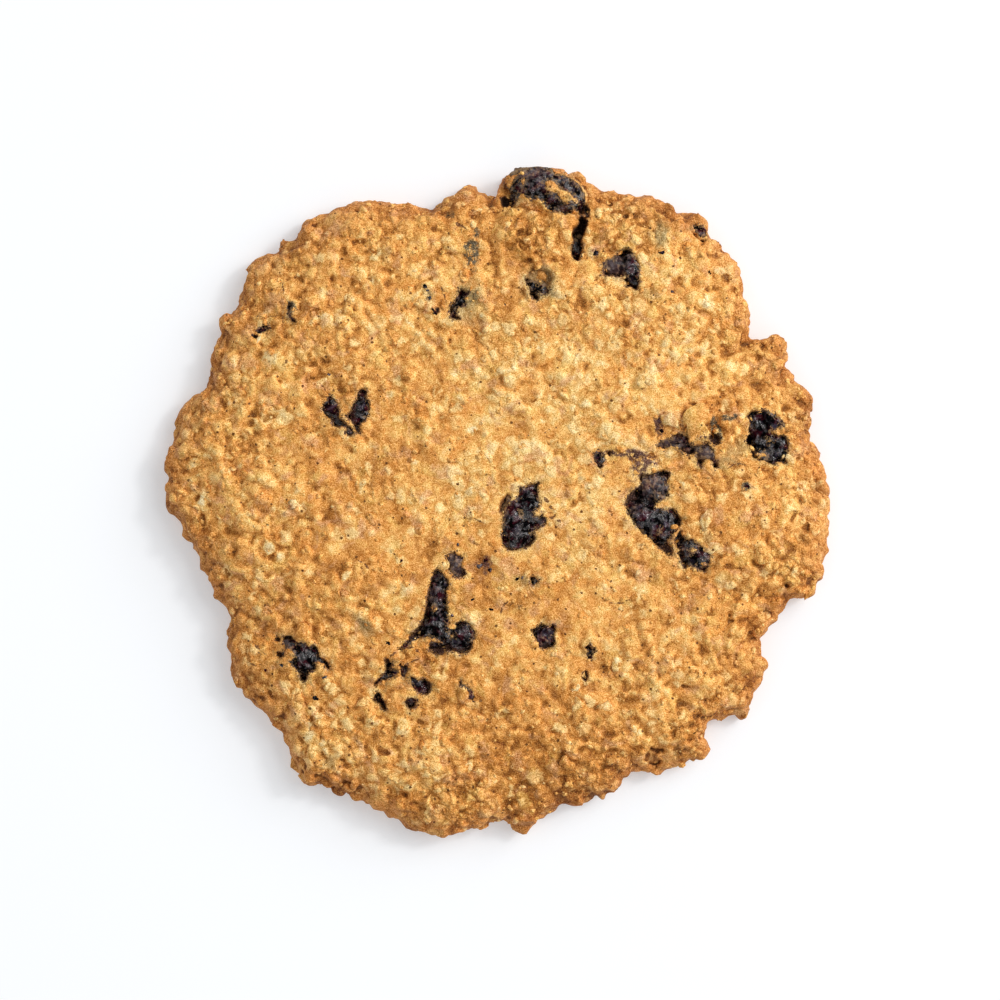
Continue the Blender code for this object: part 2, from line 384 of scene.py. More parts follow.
# Fine wrinkles: where a noise passes its middle there is a line, and a pale painted highlight runs along it.
wrinkle_place = warped(nodes, place, 0.8 * MM, 0.5 * MM)
wrinkle_noise = speckle(nodes, wrinkle_place, 0.55 * MM, 1, 0.5)
wrinkles = ranged(nodes, maths(nodes, "ABSOLUTE", maths(nodes, "SUBTRACT", wrinkle_noise, 0.5)), 0.0, 0.05, 1, 0)
painted_highlight = maths(nodes, "MULTIPLY", wrinkles, ranged(nodes, speckle(nodes, place, 1.1 * MM, 2), 0.42, 0.60, 0.05, 0.75))
wine = mixed(nodes, painted_highlight, wine, shown(150, 138, 136))
film = speckle(nodes, place, 0.6 * MM, 3, 0.65)
dust = maths(nodes, "MULTIPLY_ADD", value_of(nodes, "ridge"), 0.10, value_of(nodes, "dust"))
film_share = ranged(nodes, maths(nodes, "ADD", film, maths(nodes, "MULTIPLY", dust, 0.52)), 0.66, 0.92, 0, 0.88)
film_colour = mixed(nodes, ranged(nodes, speckle(nodes, place, 0.8 * MM, 2), 0.45, 0.66),
                    shown(84, 66, 66), shown(160, 130, 102))
colour = mixed(nodes, film_share, wine, film_colour)
# Flour and butter from the dough have dried on the skin where the two meet.
meeting = maths(nodes, "MULTIPLY_ADD", speckle(nodes, place, 0.42 * MM, 3, 0.7), 4.2, -1.98)
meeting_share = ranged(nodes, maths(nodes, "SUBTRACT", meeting, value_of(nodes, "edge")), -0.10, 0.30, 0, 0.80)
colour = mixed(nodes, meeting_share, colour, shown(158, 126, 88))
nodes.links.new(shown_to_light(nodes, colour), skin.inputs["Base Color"])
gloss = ranged(nodes, speckle(nodes, place, 0.6 * MM, 2), 0.38, 0.62, 0.13, 0.42)
roughness = maths(nodes, "MULTIPLY_ADD", maths(nodes, "MAXIMUM", film_share, meeting_share), 0.50, gloss)
gleam = ranged(nodes, speckle(nodes, place, 1.1 * MM, 3, 0.6), 0.46, 0.58, 0.02, 0.90)
nodes.links.new(gleam, skin.inputs["Specular IOR Level"])
nodes.links.new(roughness, skin.inputs["Roughness"])
creases = speckle(nodes, place, 0.30 * MM, 2, 0.6, 0.6)
height = summed(nodes, 0.0, (creases, 0.5, 1.1), (wrinkles, 0.0, 0.55), (film_share, 0.0, 0.25))
bump = add(nodes, "ShaderNodeBump", Height=height, Strength=1.0, Distance=0.07 * MM)
nodes.links.new(bump.outputs["Normal"], skin.inputs["Normal"])

for berry in berries:
    berry.data.materials.append(berry_paint)
    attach(berry, "root")
    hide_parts(berry.name.removesuffix("_skin"))


# The dough: one baked round of rolled oats bound with flour, butter and sugar. It spread as
# it baked, so the middle is smooth and the oats stand out as lumps towards a craggy rim.

RIM_SHRINK = 0.992  # the bare round, before its lumps bring it out to the CAD rim again
VOXEL = 0.27 * MM
CRUST_TRIANGLES = 196_000
FIELD_STEP = 1.25 * MM
CRUMBS = 1900
draw = np.random.default_rng(41)

# Where each cranberry shows through the face: outlines of (x, y) in millimetres.
SHOWN = {
    "cranberry_back_rim": (
        (
            (2, 44.3), (2, 46), (2.3, 47.5), (2.8, 48.5), (3.5, 49.4), (4.9, 50), (6.4, 50.3),
            (7.7, 50.3), (8, 49.1), (9.4, 48.8), (10.6, 48.5), (11.6, 47.9), (12.4, 47), (12.8, 45.8),
            (13, 44.6), (12.8, 43.3), (12.4, 42.8), (12.2, 43.9), (11.2, 44), (10.6, 43.6),
            (10.1, 43.1), (9.5, 43.7), (8.6, 43.9), (8.3, 43.6), (7.7, 44.2), (6.8, 45.1), (6.1, 45.5),
            (5, 45.5), (4.4, 45.8), (4, 46.4), (3.2, 46.4), (2.9, 45.8), (2.6, 44.9),
        ),
    ),
    "cranberry_crack": (
        (
            (11.3, 39.1), (11.8, 39.5), (12.4, 39.4), (12.7, 38.6), (12.7, 37.9), (12.4, 37.1),
            (12.1, 36.2), (11.3, 36.5), (11, 37.4), (11, 38.3),
        ),
    ),
    "cranberry_back_right": (
        (
            (17.5, 36.8), (18.2, 37.4), (19.1, 37.9), (19.9, 37.6), (20.3, 36.7), (20.9, 35.8),
            (21.1, 34.3), (20.9, 32.8), (20.8, 31.7), (20.2, 31.9), (19.6, 32.3), (19.1, 32.2),
            (19.3, 32.8), (18.8, 33.4), (19.4, 33.7), (19, 34), (18.1, 33.7), (16.9, 33.8),
            (15.4, 33.8), (16, 34.7), (15.7, 35.6), (16.3, 36.2), (17.2, 36.2),
        ),
    ),
    "cranberry_crater": (
        (
            (4.1, 33.4), (4.9, 33.1), (5.8, 32.6), (6.8, 32.2), (7.7, 31.9), (7.6, 31.3), (6.8, 31.1),
            (5.9, 31.6), (5.6, 31.4), (6.2, 30.7), (5.9, 30.2), (5.3, 30.4), (4.9, 31.1), (5, 31.7),
            (4.6, 32.3),
        ),
    ),
    "cranberry_back": (
        (
            (-5.3, 31.9), (-4.7, 31.4), (-4, 31.6), (-4.6, 30.8), (-4.9, 30.5), (-4.7, 29.6),
            (-5.2, 29.2), (-5.9, 29.3), (-6.1, 28.7), (-6.1, 28), (-5.6, 27.4), (-6.4, 27.4),
            (-7, 27.5), (-7, 28.7), (-7.1, 29.5), (-6.4, 29.9), (-5.9, 30.7), (-5.8, 31.4),
        ),
    ),
    "cranberry_forked": (
        (
            (-25.1, 16.3), (-24.7, 15.8), (-24.1, 15.4), (-23.8, 14.6), (-23.5, 14), (-23.6, 13.1),
            (-23.5, 12.7), (-22.9, 12.2), (-22.3, 11.6), (-21.8, 11.3), (-21.5, 10.7), (-21.4, 10.4),
            (-21.8, 10.1), (-22.3, 10.1), (-22.7, 10.7), (-22.3, 11), (-22.6, 11.5), (-23.2, 11.5),
            (-23.8, 11.3), (-24.4, 11.6), (-24.5, 12.4), (-25.1, 12.7), (-25.7, 13.3), (-26, 14),
            (-26, 14.6), (-25.4, 15.2), (-25.1, 15.8),
        ),
        (
            (-20.5, 16.7), (-20, 17), (-19.3, 16.9), (-19.6, 16.1), (-19.6, 15.5), (-19.1, 14.9),
            (-19.1, 14.2), (-19.3, 13.1), (-19.7, 12.5), (-20.2, 11.9), (-20.5, 11.3), (-20.5, 10.4),
            (-20.8, 10.6), (-21.1, 11.2), (-21.5, 11.9), (-22, 12.5), (-22.6, 13), (-22.1, 13.4),
            (-21.7, 13.7), (-21.5, 14.3), (-21.4, 14.8), (-20.9, 15.4), (-20.9, 16.1),
        ),
    ),
    "cranberry_right": (
        (
            (37.3, 13), (37.7, 13.4), (38.3, 13.9), (39.1, 13.7), (39.7, 14), (40.4, 13.7), (41, 13.3),
            (41.8, 12.8), (42.5, 12.2), (43.1, 11.8), (42.8, 11.6), (42.2, 11.9), (41.8, 11.3),
            (41.2, 10.9), (40.9, 11.2), (40.6, 10.9), (40.9, 10.4), (41.6, 10.1), (42.4, 10.1),
            (43, 10), (43.3, 9.2), (43.3, 8), (43.3, 7.1), (43, 6.7), (43.1, 6.2), (42.8, 6.1),
            (42.4, 6.4), (41.8, 6.2), (41.3, 5.9), (40.9, 5.9), (40.3, 6.2), (39.8, 6.4), (39.2, 6.5),
            (38.6, 6.8), (38, 7.1), (37.9, 7.7), (38.2, 8.3), (37.9, 8.8), (37.3, 8.8), (36.8, 9.4),
            (37.1, 9.8), (37.6, 10.4), (37.4, 11), (37.6, 11.8), (37.6, 12.4),
        ),
    ),
    "cranberry_arched": (
        (
            (23.6, 8.5), (24.1, 9.2), (25, 9.4), (25.7, 9.5), (26.2, 10.1), (26.8, 10.4), (28, 9.8),
            (29.2, 9.2), (29.5, 8.5), (30.2, 9.1), (30.8, 9.4), (31.3, 8.8), (31.9, 8), (32.3, 6.8),
            (32.8, 5.6), (32.3, 5.2), (31.9, 6.1), (31.4, 6.8), (30.5, 6.5), (30.2, 5.5), (29.8, 5.9),
            (29.6, 7), (29.5, 7.7), (28.6, 7.1), (28.1, 7.3), (27.5, 7.7), (26.9, 8.2), (26.3, 8.5),
            (25.7, 8.6), (24.8, 8), (24.1, 8.2),
        ),
        (
            (31.3, 10), (31.9, 10.6), (32.5, 10.4), (33.2, 9.7), (32.9, 8.8), (32.2, 8.8), (31.4, 9.4),
        ),
    ),
    "cranberry_large": (
        (
            (19, -0.1), (19.1, 0.8), (19.9, 1.7), (20.8, 2.3), (21.4, 2.9), (21.2, 3.8), (21.5, 4.3),
            (22.6, 4.3), (23.6, 4.7), (24.7, 4.9), (25.6, 4.4), (25.4, 3.7), (25, 3.2), (25.4, 2.5),
            (25.3, 1.4), (24.5, 0.7), (23.6, 0.5), (23.3, -0.7), (24.2, -0.8), (25, -1), (26, -0.8),
            (26.8, -1.6), (27.2, -2.3), (27.1, -3.1), (26.6, -3.7), (26.2, -4.3), (25.6, -5.2),
            (25.1, -5.6), (25.7, -6.2), (26, -7.3), (25.6, -7.9), (25, -7.3), (24.1, -6.7),
            (23.3, -5.9), (22.6, -5), (21.8, -4.4), (21.1, -3.8), (20.5, -3.1), (20, -2.2),
            (19.4, -1.4),
        ),
    ),
    "cranberry_beside_large": (
        (
            (26.5, -4.9), (27.2, -4.1), (27.8, -5.2), (28.4, -5.5), (28.9, -5.3), (29.5, -5.9),
            (30.1, -6.4), (30.7, -6.8), (31.4, -7.1), (31.7, -7.6), (31.6, -8.5), (31.3, -9.4),
            (30.8, -10), (30.2, -10), (29.5, -9.5), (28.9, -9.2), (28.1, -9.2), (28, -9.8),
            (27.7, -9.5), (27.2, -8.5), (26.9, -7.4), (27.2, -6.8), (26.6, -6.4), (26.3, -5.8),
        ),
    ),
    "cranberry_middle": (
        (
            (3.2, 2.6), (3.8, 2.3), (4.4, 2.6), (5, 2.9), (5.6, 2.9), (6.2, 3.2), (5.9, 2.3),
            (5.9, 1.4), (6.1, 0.4), (6.2, -0.4), (6.4, -1), (6.8, -1.6), (7.1, -2.2), (7.3, -2.6),
            (6.8, -3.1), (6.2, -3.7), (5.6, -3.8), (5, -4.3), (5.5, -4.7), (5.6, -5.2), (5.2, -5.8),
            (4.7, -6.4), (4, -6.5), (3.1, -6.8), (2.2, -7), (1.3, -6.7), (0.8, -6.1), (0.7, -5.2),
            (0.7, -4), (1, -2.8), (1.1, -1.4), (1.3, -0.7), (1.9, 0.1), (2.5, 0.5), (3.1, 1),
            (3.2, 1.9),
        ),
    ),
    "cranberry_bent": (
        (
            (-9.5, -10), (-8.9, -9.7), (-8.5, -10.1), (-7.9, -10.9), (-7.1, -11.9), (-7.6, -13),
            (-7.6, -14.2), (-7.7, -15.4), (-7.3, -16.4), (-7.4, -17.8), (-7.3, -19.1), (-6.8, -18.5),
            (-6.2, -17.8), (-5.6, -17.5), (-4.7, -17.5), (-4, -18.2), (-3.4, -19.1), (-3.4, -20),
            (-3.8, -20.6), (-3.8, -21.4), (-4.4, -22), (-5.5, -22.3), (-6.4, -22), (-7.1, -21.8),
            (-7.7, -22.1), (-8.6, -22.6), (-9.5, -22.4), (-10.1, -21.8), (-10.1, -20.9), (-9.5, -20.6),
            (-8.2, -20.6), (-9.2, -20), (-10.4, -19.7), (-11.5, -19.9), (-12.4, -20.2), (-13.1, -20.8),
            (-13.9, -21.4), (-14.6, -21.8), (-14.2, -21.2), (-13.4, -20.5), (-13, -19.6),
            (-12.2, -18.8), (-11.5, -18.1), (-10.9, -16.9), (-10.6, -15.8), (-10.6, -14.5),
            (-10.3, -13.3), (-10.1, -12.1), (-9.7, -11),
        ),
    ),
    "cranberry_veiled": (
        (
            (-7.6, -7.6), (-6.8, -7.4), (-6.4, -7.1), (-5.6, -7.6), (-5.2, -8.2), (-5.5, -8.9),
            (-5, -9.7), (-4.7, -10.4), (-5.3, -11), (-5.9, -11), (-6.4, -10.9), (-6.8, -10.3),
            (-7.1, -9.5), (-7.4, -8.6),
        ),
    ),
    "cranberry_crumbed": (
        (
            (-16.7, -23.3), (-16.3, -23), (-16, -23.6), (-15.5, -23.6), (-15.7, -24.2), (-16, -24.8),
            (-15.4, -24.7), (-14.9, -25), (-15.2, -25.6), (-16, -25.9), (-16.6, -26.3), (-17.2, -26.3),
            (-17.6, -26.6), (-18.1, -27.2), (-18.4, -26.9), (-18.2, -26.5), (-17.6, -26),
            (-17.2, -25.4), (-16.7, -25.1), (-16.6, -24.4),
        ),
        (
            (-14.5, -23.8), (-13.9, -24.1), (-13.4, -23.9), (-13.3, -24.5), (-13.6, -25.1),
            (-13.9, -25.7), (-14.3, -25.7), (-14.3, -24.8),
        ),
        (
            (-18.5, -29), (-18.1, -28.3), (-17.6, -28.1), (-17.3, -28.7), (-17, -29.3), (-16.7, -29.9),
            (-16.6, -30.8), (-17, -30.7), (-17.5, -29.8), (-18.1, -29.6), (-18.5, -29.3),
        ),
        (
            (-13.7, -29.5), (-13.3, -29), (-12.5, -29), (-12.1, -29.3), (-12.1, -30.1), (-12.4, -30.4),
            (-13, -30.5), (-13.4, -30.4), (-13.6, -29.8),
        ),
        (
            (-13, -25.6), (-12.2, -26), (-11.6, -26.3), (-11, -26), (-10.4, -26.3), (-9.8, -26.9),
            (-10, -27.8), (-10.4, -28.4), (-11.2, -28.3), (-11.8, -28.1), (-12.4, -27.5), (-12.8, -26.6),
        ),
    ),
    "cranberry_left": (
        (
            (-31.9, -20), (-31.3, -19.7), (-30.7, -19.9), (-30.2, -20.5), (-29.6, -20.9), (-29, -20.8),
            (-28.6, -20.9), (-28, -21.4), (-27.5, -20.9), (-27.1, -21.2), (-26.8, -21.8),
            (-26.6, -22.7), (-26, -23.2), (-25.4, -23.5), (-25.1, -23.9), (-25, -24.7), (-25.4, -24.5),
            (-25.9, -23.9), (-26.6, -23.5), (-27.2, -23.5), (-27.1, -24.1), (-27.2, -24.7),
            (-27.7, -25), (-28.1, -25.3), (-28.3, -25.9), (-28.6, -26.5), (-29, -26.6), (-29.3, -26.2),
            (-29.5, -25.4), (-29.9, -24.8), (-30.2, -24.4), (-30.8, -23.9), (-31.1, -23.6),
            (-30.5, -23.3), (-29.9, -22.9), (-30.1, -22.1), (-30.7, -21.8), (-31.3, -21.7),
            (-31.7, -21.2), (-31.9, -20.6),
        ),
        (
            (-32.8, -22.1), (-32.2, -22.3), (-31.7, -22.1), (-31.9, -22.7), (-32.5, -23),
            (-32.9, -22.6),
        ),
        (
            (-33.2, -20.3), (-32.8, -19.9), (-32.5, -20.2), (-32.6, -20.6),
        ),
    ),
    "cranberry_front": (
        (
            (5, -18.8), (5.8, -18.4), (6.5, -17.9), (7.1, -18.1), (7.6, -18.4), (8.2, -17.9),
            (8.6, -18.1), (8.5, -19), (8.3, -19.6), (8.5, -20.5), (8.3, -21.2), (7.7, -21.5),
            (7, -21.7), (6.2, -21.4), (5.9, -20.8), (5.6, -19.9), (5.3, -19.4),
        ),
    ),
    "cranberry_bit_front": (
        (
            (13.1, -21.4), (13.6, -20.9), (14, -21.4), (14.5, -21.5), (14.5, -22.1), (14, -22.3),
            (14, -23.2), (13.6, -23), (13.3, -22.4), (13.4, -21.8),
        ),
    ),
    "cranberry_bit_right": (
        (
            (14.3, 7.1), (14.5, 7.6), (14.9, 7.9), (15.4, 7.4), (15.7, 7), (15.8, 6.4), (15.5, 5.6),
            (15.2, 5.2), (14.9, 5.6), (14.6, 6.4), (14.3, 6.8),
        ),
        (
            (16.3, 7.6), (16.7, 7.7), (17, 7.6), (16.6, 7.1),
        ),
    ),
    "cranberry_bit_middle": (
        (
            (4.9, -11), (5.5, -11), (6.2, -11.5), (5.6, -11.9), (5, -12.2), (4.9, -11.6),
        ),
    ),
    "cranberry_bit_left_rim": (
        (
            (-35.9, 25.9), (-35.5, 26.3), (-34.9, 26.6), (-34.3, 26.5), (-34, 26.2), (-34.4, 25.9),
            (-35, 25.7), (-35.3, 25.4), (-35.8, 25.6),
        ),
    ),
    "cranberry_bit_left": (
        (
            (-31.1, 28.3), (-30.7, 28.1), (-30.4, 27.5), (-30.2, 27.1), (-30.7, 27.2), (-31, 27.7),
        ),
        (
            (-31.3, 29.6), (-31, 29.8), (-30.7, 29.5), (-31, 28.7), (-31.3, 29),
        ),
    ),
    "cranberry_bit_back": (
        (
            (29.5, 41.6), (30.4, 41.6), (31.1, 41), (31, 40.3), (30.5, 40.1), (29.9, 40.7),
        ),
    ),
    "cranberry_sliver": (
        (
            (-5.6, -26.2), (-5.2, -26.8), (-4.7, -27.1), (-4.1, -27.5), (-3.8, -28.1), (-3.5, -28.6),
            (-3.7, -29.2), (-4.1, -29.2), (-4.3, -28.7), (-4.1, -28.3), (-4.6, -27.8), (-5, -27.4),
            (-5.5, -26.8),
        ),
    ),
}
# Islands of dough that lie over a cranberry inside its outline.
COVERED = (
    (
        (6.7, 47.9), (7.7, 48.4), (8.8, 47.9), (9.4, 47), (10.4, 46.7), (11.3, 46.1), (12.1, 45.4),
        (12.2, 44.3), (11.5, 44.6), (11, 45.1), (10.6, 44.3), (9.8, 44.6), (9.1, 45.4), (8.6, 46.1),
        (7.7, 46), (7.1, 46.7),
    ),
    (
        (3.2, 48.5), (4, 48.7), (4.3, 47.9), (3.8, 47.2), (3.4, 47.5),
    ),
    (
        (40.1, 9.7), (40.7, 9.8), (41, 9.4), (40.6, 8.9), (40.1, 9.1),
    ),
    (
        (38.3, 7.7), (39.1, 7.6), (39.8, 7.7), (40.4, 7.3), (40.1, 6.8), (39.4, 6.8), (38.5, 7),
    ),
    (
        (28.4, -6.7), (29.2, -6.4), (29.8, -6.8), (29.2, -7.4), (28.6, -7.6),
    ),
    (
        (30.2, -8.9), (30.8, -8.6), (31.3, -9.2), (30.7, -9.5),
    ),
    (
        (5.3, -1.3), (5.8, -0.8), (6.5, -0.5), (6.8, -1.3), (6.5, -1.9), (5.9, -2.2), (5.5, -2),
    ),
    (
        (3.2, -0.7), (3.7, -1.4), (4, -2), (3.5, -2.2), (3.2, -1.4),
    ),
    (
        (-7.3, -19.3), (-6.5, -19.4), (-6.4, -19.9), (-7, -20),
    ),
    (
        (23.8, -3.8), (24.4, -3.7), (24.5, -4.3), (23.8, -4.7),
    ),
    (
        (-15.4, -23.9), (-14.8, -24.1), (-14.6, -24.7), (-15.1, -24.7), (-15.4, -24.4),
    ),
    (
        (28.2, 10.4), (28.3, 9.2), (28.9, 8.5), (30.2, 8.4), (31.2, 9.0), (31.5, 10.6), (30, 12),
    ),
    (
        (-9.5, -14.9), (-9.1, -15.4), (-9.4, -16), (-9.8, -15.5),
    ),
)
# Fine cracks: half width, then their line.
CRACKS = (
    (0.1, ((-8.32, 32.02), (-7.88, 31.12), (-7.72, 30.38))),
    (0.09, ((-26.18, 17.62), (-25.57, 16.88), (-25.12, 16.27))),
    (0.14, ((7.12, 0.67), (7.72, -0.22), (8.32, -1.12))),
    (0.18, ((8.03, -2.02), (8.62, -2.02), (9.07, -2.48))),
    (0.17, ((-36.38, -20.93), (-35.62, -21.68), (-34.88, -22.27))),
    (0.11, ((-15.97, -22.72), (-15.22, -22.12), (-14.32, -21.82), (-13.42, -21.38), (-12.53, -21.38),
        (-11.78, -21.97))),
    (0.09, ((-13.28, -23.77), (-12.67, -23.47), (-11.92, -23.18))),
    (0.2, ((-5.92, 41.77), (-5.33, 41.48), (-4.58, 40.88))),
    (0.09, ((-32.02, 33.23), (-32.02, 32.32), (-31.72, 31.57))),
    (0.09, ((-33.67, 27.97), (-33.07, 27.97), (-32.48, 28.12))),
    (0.07, ((-32.02, 27.68), (-32.02, 27.22))),
    (0.08, ((-27.22, -38.62), (-26.32, -38.32))),
    (0.1, ((0.53, -16.12), (0.67, -15.38), (1.43, -14.62))),
    (0.08, ((-36.82, -23.93), (-36.23, -24.22), (-35.62, -24.07))),
    (0.09, ((15.82, -14.17), (16.88, -14.77), (18.38, -14.77))),
    (0.08, ((34.57, 5.47), (35.62, 6.08), (36.67, 5.77))),
    (0.08, ((-3.97, -1.27), (-3.52, -2.17), (-2.62, -2.62))),
    (0.08, ((-20.62, -8.47), (-19.72, -8.92), (-18.97, -9.82))),
)
# Holes: how deep, how much shade is painted in them, then their outline.
PITS = (
    (3.4, 1, ((12.38, 43.42), (13.12, 42.52), (13.57, 42.23), (13.28, 41.17), (12.82, 40.12),
        (12.38, 38.77), (11.47, 38.77), (11.03, 39.98), (11.32, 40.88), (12.07, 41.62))),
    (1.8, 0.9, ((12.67, 44.48), (13.28, 44.77), (13.88, 44.02), (13.72, 42.67), (13.12, 42.67))),
    (1.2, 0.34, ((4.12, 34.42), (5.33, 35.17), (7.27, 35.02), (8.32, 34.12), (8.17, 32.32),
        (6.83, 31.57), (5.02, 31.72), (3.97, 32.92))),
    (1, 0.6, ((0.38, 0.53), (1.43, 1.43), (2.17, 0.97), (1.43, -0.67), (0.53, -2.02), (0.07, -1.27))),
    (1.1, 0.36, ((21.97, -37.27), (22.88, -36.38), (24.07, -36.23), (24.97, -36.98), (24.07, -37.73),
        (24.68, -38.62), (23.93, -39.82), (22.57, -39.38), (21.82, -38.48))),
    (1.2, 0.45, ((42.38, -11.92), (43.57, -11.92), (43.88, -12.53), (42.98, -12.97))),
    (1, 1, ((-36.82, 25.43), (-35.92, 25.27), (-35.62, 24.68), (-36.52, 24.38))),
    (1, 0.9, ((12.53, -24.97), (13.28, -24.82), (13.57, -25.57), (13.12, -26.62), (12.53, -26.02))),
    (1, 0.9, ((-9.38, 29.02), (-8.78, 29.17), (-8.47, 28.57), (-9.07, 28.12))),
    (1.4, 0.85, ((0.22, 45.82), (1.12, 46.12), (2.02, 45.38), (1.72, 44.17), (0.67, 44.32))),
)
# Chips of cranberry skin: (x, y, half size).
SPECKS = (
    (-10.42, 31.72, 0.3),
    (-10.88, 32.32, 0.3),
    (-10.12, 30.52, 0.3),
    (24.38, 37.27, 0.45),
    (31.72, 34.57, 0.3),
    (25.88, 31.42, 0.3),
    (-14.32, -8.47, 0.3),
    (-14.03, -9.53, 0.3),
    (-6.83, -16.43, 0.3),
    (-0.97, -15.82, 0.3),
    (-3.67, -14.17, 0.3),
    (-34.73, -24.82, 0.3),
    (-32.17, -24.22, 0.3),
    (-25.12, 19.12, 0.3),
    (-26.93, -28.88, 0.45),
    (-25.72, -25.88, 0.45),
    (-5.92, -6.22, 0.3),
    (3.07, -11.17, 0.3),
    (3.67, -11.03, 0.3),
    (-16.27, -20.77, 0.3),
    (-2.62, -9.22, 0.45),
    (-1.57, -8.47, 0.38),
    (-1.27, -9.82, 0.38),
    (14.47, 37.27, 0.45),
    (36.98, 2.48, 0.45),
    (23.93, 12.22, 0.38),
    (24.22, 10.72, 0.38),
    (-9.22, 28.57, 0.6),
)
# Lumps given one by one: (x, y, half length, half width, turn, how far it stands up, paleness).
LUMPS = (
    (29.47, 12.82, 1.2, 1.2, 80, 2, -1.4),
    (29.92, 10.57, 1.35, 1.2, 70, 2, -1.4),
    (28.88, 13.57, 0.75, 0.53, 30, 2.8, -1),
    (30.38, 12.67, 0.9, 0.6, 120, 3, -0.6),
    (29.02, 11.17, 0.75, 0.67, 0, 2.9, -1.6),
    (30.67, 9.97, 0.75, 0.6, 60, 2.5, -1.2),
    (28.43, 12.38, 0.6, 0.75, 80, 2.4, -1.4),
    (33.67, 11.92, 1.05, 0.9, 10, 1.3, 0.1),
    (9.67, 49.73, 1.35, 0.45, -20, 1, 1),
    (11.62, 48.23, 1.35, 0.53, -30, 1, 1),
    (13.42, 45.98, 1.35, 0.45, -80, 1, 1),
    (3.67, 43.42, 3.3, 1.95, 20, 1, -0.5),
    (7.88, 40.73, 3.6, 2.1, 20, 1, -0.4),
    (1.57, 47.62, 0.9, 1.8, 5, 0.8, -1.2),
    (25.43, 12.53, 1.05, 0.75, 80, 0.7, 0.9),
    (-24.82, -27.38, 0.75, 0.6, 60, 0.7, 1),
    (30.97, -2.62, 1.2, 0.75, 70, 0.6, 0.7),
    (-19.88, -29.47, 0.75, 0.6, 20, 0.6, 0.8),
    (11.92, -29.62, 0.9, 0.6, 0, 0.6, 0.9),
    (-30.38, -28.12, 0.9, 0.75, 20, 0.6, 0.6),
    (31.57, -6.67, 1.35, 0.53, 10, 0.5, 0.7),
    (-26.47, -31.42, 0.6, 0.45, 0, 0.5, 0.9),
    (5.77, -0.97, 1.05, 0.75, 30, 0.8, 0.3),
    (-15.67, -26.77, 1.95, 1.5, 20, 0.7, 0.5),
    (-12.67, -25.27, 1.5, 1.35, 90, 0.7, 0.6),
    (-14.03, -28.57, 1.35, 1.35, 0, 0.5, 0.3),
    (-16.88, -25.27, 1.35, 1.05, 40, 0.5, 0.4),
    (-10.88, -29.32, 1.35, 1.05, 40, 0.4, 0.2),
    (-8.17, -20.62, 2.25, 0.53, -12, 0.5, 0.5),
)
# Stains of dried juice: (x, y, half length, half width, turn, strength).
FILMS = (
    # Left of the raised nugget: painted shadow, in a juice stain's colour.
    (27.22, 11.03, 0.45, 1.8, 0, 0.45),
    (17.77, 7.42, 1.95, 0.38, -4, 0.85),
    (20.47, 7.12, 1.95, 0.75, -10, 0.9),
    (22.57, 6.38, 1.35, 0.9, 0, 0.75),
    (14.62, 37.27, 0.9, 0.75, 0, 0.6),
    (20.93, 5.33, 1.2, 1.35, 30, 0.65),
    (-2.62, -9.22, 0.45, 0.6, 0, 0.8),
    (-1.57, -9.07, 0.75, 1.35, 0, 0.6),
    (20.32, 3.82, 1.35, 0.9, 0, 0.35),
    (23.93, 11.47, 0.6, 1.65, 0, 0.95),
    (20.32, 1.27, 1.2, 1.5, 0, 0.5),
)
# Sooty spots over buried fruit, in the same way.
SOOTY = (
    (-10.88, -27.38, 0.9, 0.9, 0, 0.8),
    # Beside the raised nugget these two spots are partly painted shadow.
    (32.48, 11.03, 0.67, 1.95, 10, 0.9),
    (34.57, 12.82, 1.35, 0.45, 8, 0.8),
    (30.38, 7.72, 1.8, 0.9, -20, 0.7),
    (-3.82, 37.27, 1.05, 1.95, 0, 0.9),
    (-3.07, 40.42, 0.53, 0.75, 0, 0.8),
    (-7.12, 43.12, 0.75, 0.6, 0, 0.6),
    (36.98, 2.48, 0.75, 0.6, 0, 0.8),
    (-30.67, 29.17, 0.75, 0.9, 0, 0.8),
    (35.77, 6.08, 0.9, 0.75, 0, 0.35),
    (-10.42, 31.12, 0.75, 1.05, 0, 0.5),
    (-3.38, 30.52, 1.05, 1.35, 0, 0.45),
    (3.38, -15.22, 0.9, 0.6, 0, 0.4),
)
# Greyish patches, in the same way.
ASHEN = (
    (-19.72, -18.22, 0.9, 1.65, 30, 0.8),
    (34.12, 6.08, 1.35, 0.9, 0, 0.7),
    (35.62, 8.03, 1.5, 1.05, 0, 0.5),
    (22.12, 31.12, 1.35, 0.75, 0, 0.7),
    (6.08, 33.23, 2.4, 1.8, 0, 0.9),
    (6.38, 31.57, 2.1, 1.05, 0, 0.7),
    (24.38, 40.27, 1.2, 1.65, 0, 0.8),
    (-3.97, 29.77, 2.25, 3, 0, 0.6),
    (31.12, -5.17, 0.6, 0.75, 0, 0.5),
    (-25.12, -38.77, 0.9, 0.75, 0, 0.6),
    (3.67, -11.47, 1.2, 0.75, 0, 0.6),
)
